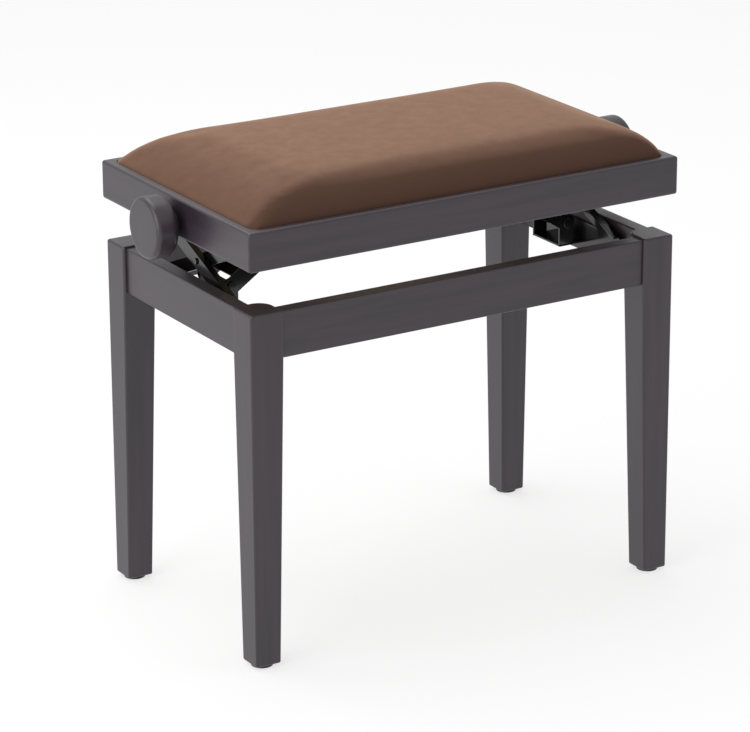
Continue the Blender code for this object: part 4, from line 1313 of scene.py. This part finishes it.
    def slider(self, side: str) -> tuple[float, float]:
        """Works out how far the sliding arm ends travel.

        Args:
            side: The end's side.

        Returns:
            Their Y with the seat right up and right down.
        """
        lift = next(joint for joint in FRAME["joints"] if joint["name"] == "seat_lift")["range_m"]
        foot = joint_place(f"arm_pivot_{side}")
        centre = joint_place(f"scissor_pivot_{side}")
        rise = 2 * (centre.z - foot.z)
        length = 2 * math.hypot(foot.y, centre.z - foot.z)
        return tuple(math.sqrt(length ** 2 - (rise + step) ** 2) + foot.y for step in (lift[1], lift[0]))

    def pin_slots(self, side: str, x: float, height: float, play: float) -> list[tuple]:
        """Lays out the round hole for a fixed arm end and the slot for a sliding one.

        Args:
            side: The end's side.
            x: X of the plate's face.
            height: Height of the pins.
            play: Gap round a pin.

        Returns:
            For each hole its corner points and its corner rounding.
        """
        foot = joint_place(f"arm_pivot_{side}").y
        gap = self.arm_pin + play
        holes = []
        for front, back in ((foot, foot), self.slider(side)):
            corners = [(x, front - gap, height - gap), (x, back + gap, height - gap),
                       (x, back + gap, height + gap), (x, front - gap, height + gap)]
            holes.append((corners, gap * ROUND))
        return holes

    def lower_bracket(self, side: str, sign: int) -> None:
        """Builds the plate on the side apron with its two ears for the strut.

        Args:
            side: The end's side.
            sign: Which way that lies.
        """
        low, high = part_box(f"lower_bracket_{side}")
        out, inner = (low.x, high.x) if sign < 0 else (high.x, low.x)
        depth = -sign * self.lower_plate
        ears = joint_place(f"strut_pivot_{side}")
        top = low.z + self.lower_height
        outline = [(out, low.y, low.z), (out, high.y, low.z), (out, high.y, top), (out, low.y, top)]
        holes = self.pin_slots(side, out, joint_place(f"arm_pivot_{side}").z, self.lower_play)
        shape = pierced_plate(outline, [self.lower_corner] * 4, holes, (depth, 0, 0), self.plate_edge)
        reach = middle(f"strut_{side}").y + self.shoulder
        xs = sorted((inner, out + depth / 2))
        join(shape, eased_block((xs[0], -reach, low.z), (xs[1], reach, low.z + self.shelf),
                                self.plate_edge, 3))
        for end in (-1, 1):
            ys = sorted((end * reach, end * (reach - self.shelf)))
            face = [(ears.x - self.ear, ys[0], low.z), (ears.x + self.ear, ys[0], low.z),
                    (ears.x + self.ear, ys[0], ears.z + self.ear),
                    (ears.x - self.ear, ys[0], ears.z + self.ear)]
            join(shape, pierced_plate(face, [0, 0, self.ear_corner, self.ear_corner], [],
                                      (0, ys[1] - ys[0], 0), self.plate_edge))
        finish_piece(f"{side}_lower_bracket", shape, self.workshop.enamel,
                     [f"lower_bracket_{side}"], sharp=30)

    def upper_bracket(self, side: str, sign: int) -> None:
        """Builds the plate inside the seat's end rail, with its raised tab round the spindle.

        Args:
            side: The end's side.
            sign: Which way that lies.
        """
        low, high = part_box(f"upper_bracket_{side}")
        out = low.x if sign < 0 else high.x
        depth = -sign * (high.x - low.x)
        pins = 2 * joint_place(f"scissor_pivot_{side}").z - joint_place(f"arm_pivot_{side}").z
        top = low.z + self.upper_height
        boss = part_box(f"spindle_bush_{side}")[1].z - middle("spindle").z + self.tab_side
        outline = [(out, low.y, low.z), (out, high.y, low.z), (out, high.y, top), (out, boss, top),
                   (out, boss, high.z), (out, -boss, high.z), (out, -boss, top), (out, low.y, top)]
        radii = [*[self.upper_corner] * 3, self.tab_foot, *[self.tab_corner] * 2, self.tab_foot,
                 self.upper_corner]
        holes = self.pin_slots(side, out, pins - self.slot_drop, self.upper_play)
        shape = pierced_plate(outline, radii, holes, (depth, 0, 0), self.plate_edge)
        finish_piece(f"{side}_upper_bracket", shape, self.workshop.enamel,
                     [f"upper_bracket_{side}"], sharp=30)

    def strut(self, side: str, sign: int) -> None:
        """Builds the channel strut: two flanges with a web between them, open at the top.

        Args:
            side: The end's side.
            sign: Which way that lies.
        """
        pivot = joint_place(f"strut_pivot_{side}")
        nut = middle(f"nut_{side}")
        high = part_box(f"strut_{side}")[1]
        along = Vector((nut.x - pivot.x, 0, nut.z - pivot.z))
        length = along.length
        angle = math.atan2(along.z, abs(along.x))
        half = self.strut_height / 2
        top_end = (high.z - half - pivot.z) / math.sin(angle)
        shape = bmesh.new()
        slot = self.trunnion + self.strut_play
        slot_start = length - self.strut_play - slot
        for end in (-1, 1):
            y = end * high.y
            outline = [(-half, y, -half), (top_end + half, y, -half), (top_end + half, y, half),
                       (-half, y, half)]
            hole = [(slot_start, y, -slot), (top_end + slot, y, -slot), (top_end + slot, y, slot),
                    (slot_start, y, slot)]
            join(shape, pierced_plate(outline, [half * ROUND] * 4, [(hole, slot * ROUND)],
                                      (0, -end * self.strut_wall, 0), self.plate_edge))
        side_reach = high.y - self.web_inset
        join(shape, eased_block((half + self.fold_clear, -side_reach, -half),
                                (length - self.web_end, side_reach, -half + self.strut_wall),
                                self.plate_edge, 3))
        turn = Matrix.Translation(pivot) @ Matrix.Scale(-sign, 4, (1, 0, 0)) @ Matrix.Rotation(-angle, 4, "Y")
        bmesh.ops.transform(shape, matrix=turn, verts=shape.verts)
        finish_piece(f"{side}_strut", shape, self.workshop.enamel, [f"strut_{side}"],
                     sharp=30)

    def strut_pin(self, side: str) -> None:
        """Builds the headed pin through the ears and the strut.

        Args:
            side: The end's side.
        """
        low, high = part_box(f"strut_pin_{side}")
        centre = (low + high) / 2
        head = (high.z - low.z) / 2
        under = high.y - self.head_thickness
        half = [(under, self.trunnion), (under, head), (high.y, head), (high.y, 0)]
        profile = mirrored_points(half[::-1], -1) + half
        shape = turned(profile, centre, Grain.CROSSWISE, steps=32)
        for station in (-high.y, high.y):
            ease(shape, rings_at(shape, Grain.CROSSWISE, station, head, centre), self.head_dome, 4)
        finish_piece(f"{side}_strut_pin", shape, self.workshop.enamel, [f"strut_pin_{side}"])

    def nut(self, side: str) -> None:
        """Builds the travelling nut with its two trunnions.

        Args:
            side: The end's side.
        """
        low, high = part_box(f"nut_{side}")
        centre = (low + high) / 2
        flank = self.shoulder - self.nut_cap
        body = eased_block((low.x, -flank, low.z), (high.x, flank, high.z), self.nut_edge, 4)
        half = [(self.shoulder, self.nut_cap_radius), (self.shoulder, self.trunnion),
                (high.y, self.trunnion), (high.y, 0)]
        profile = mirrored_points(half[::-1], -1) + half
        ends = turned(profile, centre, Grain.CROSSWISE, steps=32)
        for station in (-high.y, high.y):
            ease(ends, rings_at(ends, Grain.CROSSWISE, station, self.trunnion, centre),
                 self.trunnion_edge, 3)
        join(body, ends)
        finish_piece(f"{side}_nut", body, self.workshop.oiled_steel, [f"nut_{side}"])

    def build(self) -> None:
        """Builds both ends of the linkage."""
        for side, sign in SIDES:
            self.lower_bracket(side, sign)
            self.upper_bracket(side, sign)
            self.build_arms(side, sign)
            self.strut(side, sign)
            self.strut_pin(side)
            self.nut(side)


# ---------------------------------------------------------------- screws


@dataclass
class Screws:
    """Countersunk wood screws with a cross recess."""

    workshop: Workshop
    slope: float = 2.1 * MM         # depth of the countersunk head
    shank: float = 1.9 * MM
    point: float = 3 * MM
    recess_width: float = 0.9 * MM
    recess_depth: float = 1.1 * MM
    recess_share: float = 0.62      # reach of the recess, as a share of the head's radius

    def screw(self, node: str, upright: bool) -> None:
        """Builds one screw where its CAD node is.

        Args:
            node: The CAD node.
            upright: Whether it was driven up, rather than outwards.
        """
        low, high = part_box(node)
        centre = (low + high) / 2
        way = Grain.UPRIGHT if upright else Grain.LENGTHWISE
        axis = way.value
        sign = 1 if upright or centre.x > 0 else -1
        face, tip = (low[axis], high[axis]) if sign > 0 else (high[axis], low[axis])
        head = (high.y - low.y) / 2
        inner = self.recess_share * head
        profile = [(face, 0), (face, inner), (face, head), (face + sign * self.slope, self.shank),
                   (tip - sign * self.point, self.shank), (tip, 0)]
        shape = turned(profile, centre, way, steps=32)
        spot = centre.copy()
        spot[axis] = face
        flat = [item for item in shape.faces
                if at_level(item, face, axis) and (item.calc_center_median() - spot).length < inner]
        bmesh.ops.dissolve_faces(shape, faces=flat)
        piece = finish_piece(f"screw_{node}", shape, self.workshop.zinc, [node])
        self.recess(piece, spot, axis, inner)

    def recess(self, piece: bpy.types.Object, spot: Vector, axis: int, reach: float) -> None:
        """Cuts the cross recess into a screw's head.

        Args:
            piece: The screw.
            spot: Middle of the head's face.
            axis: The screw's axis: 0, 1 or 2.
            reach: How far each arm of the cross reaches.
        """
        cutter = bmesh.new()
        for across in [k for k in range(3) if k != axis]:
            half = Vector([self.recess_width / 2] * 3)
            half[across] = reach
            half[axis] = self.recess_depth
            join(cutter, block(spot - half, spot + half))
        mesh = bpy.data.meshes.new("recess")
        cutter.to_mesh(mesh)
        cutter.free()
        tool = bpy.data.objects.new("recess", mesh)
        bpy.context.scene.collection.objects.link(tool)
        cut = piece.modifiers.new("recess", "BOOLEAN")
        cut.operation = "DIFFERENCE"
        cut.solver = "EXACT"
        cut.use_self = True
        cut.object = tool
        graph = bpy.context.evaluated_depsgraph_get()
        graph.update()
        made = bpy.data.meshes.new_from_object(piece.evaluated_get(graph))
        piece.modifiers.clear()
        piece.data = made
        bpy.data.objects.remove(tool)

    def build(self) -> None:
        """Builds all twelve screws."""
        for end, _ in ENDS:
            for side, _ in SIDES:
                self.screw(f"board_screw_{end}_{side}", True)
                self.screw(f"lower_screw_{side}_{end}", False)
                self.screw(f"upper_screw_{side}_{end}", False)


# ---------------------------------------------------------------- studio


@dataclass
class Studio:
    """White floor, soft light and the camera."""

    position: tuple[float, float, float] = (-2.00909, -3.25097, 1.59053)
    azimuth: float = -31.458
    elevation: float = 19.303
    roll: float = -0.274
    lens: float = 171.049
    sensor: float = 36.0
    half_step: float = 0.5 / 750    # shift that centres the frame
    clip: tuple[float, float] = (0.1, 50.0)
    floor_size: float = 8.0
    floor_grey: float = 0.28
    floor_glow: float = 0.675
    daylight: float = 0.8
    softbox_size: float = 2.2
    aim: tuple[float, float, float] = (0, 0, 0.35)
    softboxes: tuple = (("left_softbox", (-2.6, -0.5, 1.3), 38), ("top_softbox", (-0.3, 0.9, 2.6), 32))

    def camera(self) -> None:
        """Sets the camera."""
        az, el, roll = (math.radians(value) for value in (self.azimuth, self.elevation, self.roll))
        back = Vector((math.sin(az) * math.cos(el), -math.cos(az) * math.cos(el), math.sin(el)))
        level = (-back).cross(Vector((0, 0, 1))).normalized()
        upward = level.cross(-back)
        right = math.cos(roll) * level + math.sin(roll) * upward
        up = -math.sin(roll) * level + math.cos(roll) * upward
        data = bpy.data.cameras.new("camera")
        data.lens = self.lens
        data.sensor_width = self.sensor
        data.shift_x, data.shift_y = -self.half_step, self.half_step
        data.clip_start, data.clip_end = self.clip
        item = bpy.data.objects.new("camera", data)
        turn = Matrix((right, up, back)).transposed().to_4x4()
        item.matrix_world = Matrix.Translation(self.position) @ turn
        bpy.context.scene.collection.objects.link(item)
        bpy.context.scene.camera = item

    def floor(self) -> None:
        """Lays the floor."""
        shape = bmesh.new()
        bmesh.ops.create_grid(shape, x_segments=1, y_segments=1, size=self.floor_size)
        mesh = bpy.data.meshes.new("floor")
        shape.to_mesh(mesh)
        shape.free()
        paper = bpy.data.materials.new("white_paper")
        paper.use_nodes = True
        shader = paper.node_tree.nodes["Principled BSDF"]
        shader.inputs["Base Color"].default_value = (*[self.floor_grey] * 3, 1)
        shader.inputs["Roughness"].default_value = 0.9
        shader.inputs["Specular IOR Level"].default_value = 0.1
        shader.inputs["Emission Color"].default_value = (1, 1, 1, 1)
        shader.inputs["Emission Strength"].default_value = self.floor_glow
        mesh.materials.append(paper)
        item = bpy.data.objects.new("floor", mesh)
        bpy.context.scene.collection.objects.link(item)

    def softbox(self, name: str, place: Sequence[float], power: float) -> None:
        """Hangs a soft light that faces the seat.

        Args:
            name: Its name.
            place: Where it hangs.
            power: Its power in watts.
        """
        data = bpy.data.lights.new(name, "AREA")
        data.shape = "RECTANGLE"
        data.size = data.size_y = self.softbox_size
        data.energy = power
        item = bpy.data.objects.new(name, data)
        item.location = place
        item.rotation_euler = (Vector(place) - Vector(self.aim)).to_track_quat("Z", "Y").to_euler()
        bpy.context.scene.collection.objects.link(item)

    def build(self) -> None:
        """Sets up the camera, the floor and the light."""
        self.camera()
        self.floor()
        world = bpy.data.worlds.new("studio")
        world.use_nodes = True
        sky = world.node_tree.nodes["Background"]
        sky.inputs["Color"].default_value = (1, 1, 1, 1)
        sky.inputs["Strength"].default_value = self.daylight
        bpy.context.scene.world = world
        bpy.context.scene.view_settings.view_transform = "Standard"
        for name, place, power in self.softboxes:
            self.softbox(name, place, power)


def main() -> None:
    """Builds the bench in order."""
    logging.basicConfig(level=logging.INFO, format="%(name)s %(message)s")
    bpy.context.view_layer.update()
    Studio().build()
    workshop = Workshop()
    LegFrame(workshop).build()
    SeatFrame(workshop).build()
    Cushion(workshop).build()
    SpindleGroup(workshop).build()
    Linkage(workshop).build()
    Screws(workshop).build()


for startup in list(bpy.data.objects):
    bpy.data.objects.remove(startup)
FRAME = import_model()

if __name__ == "__main__":
    main()
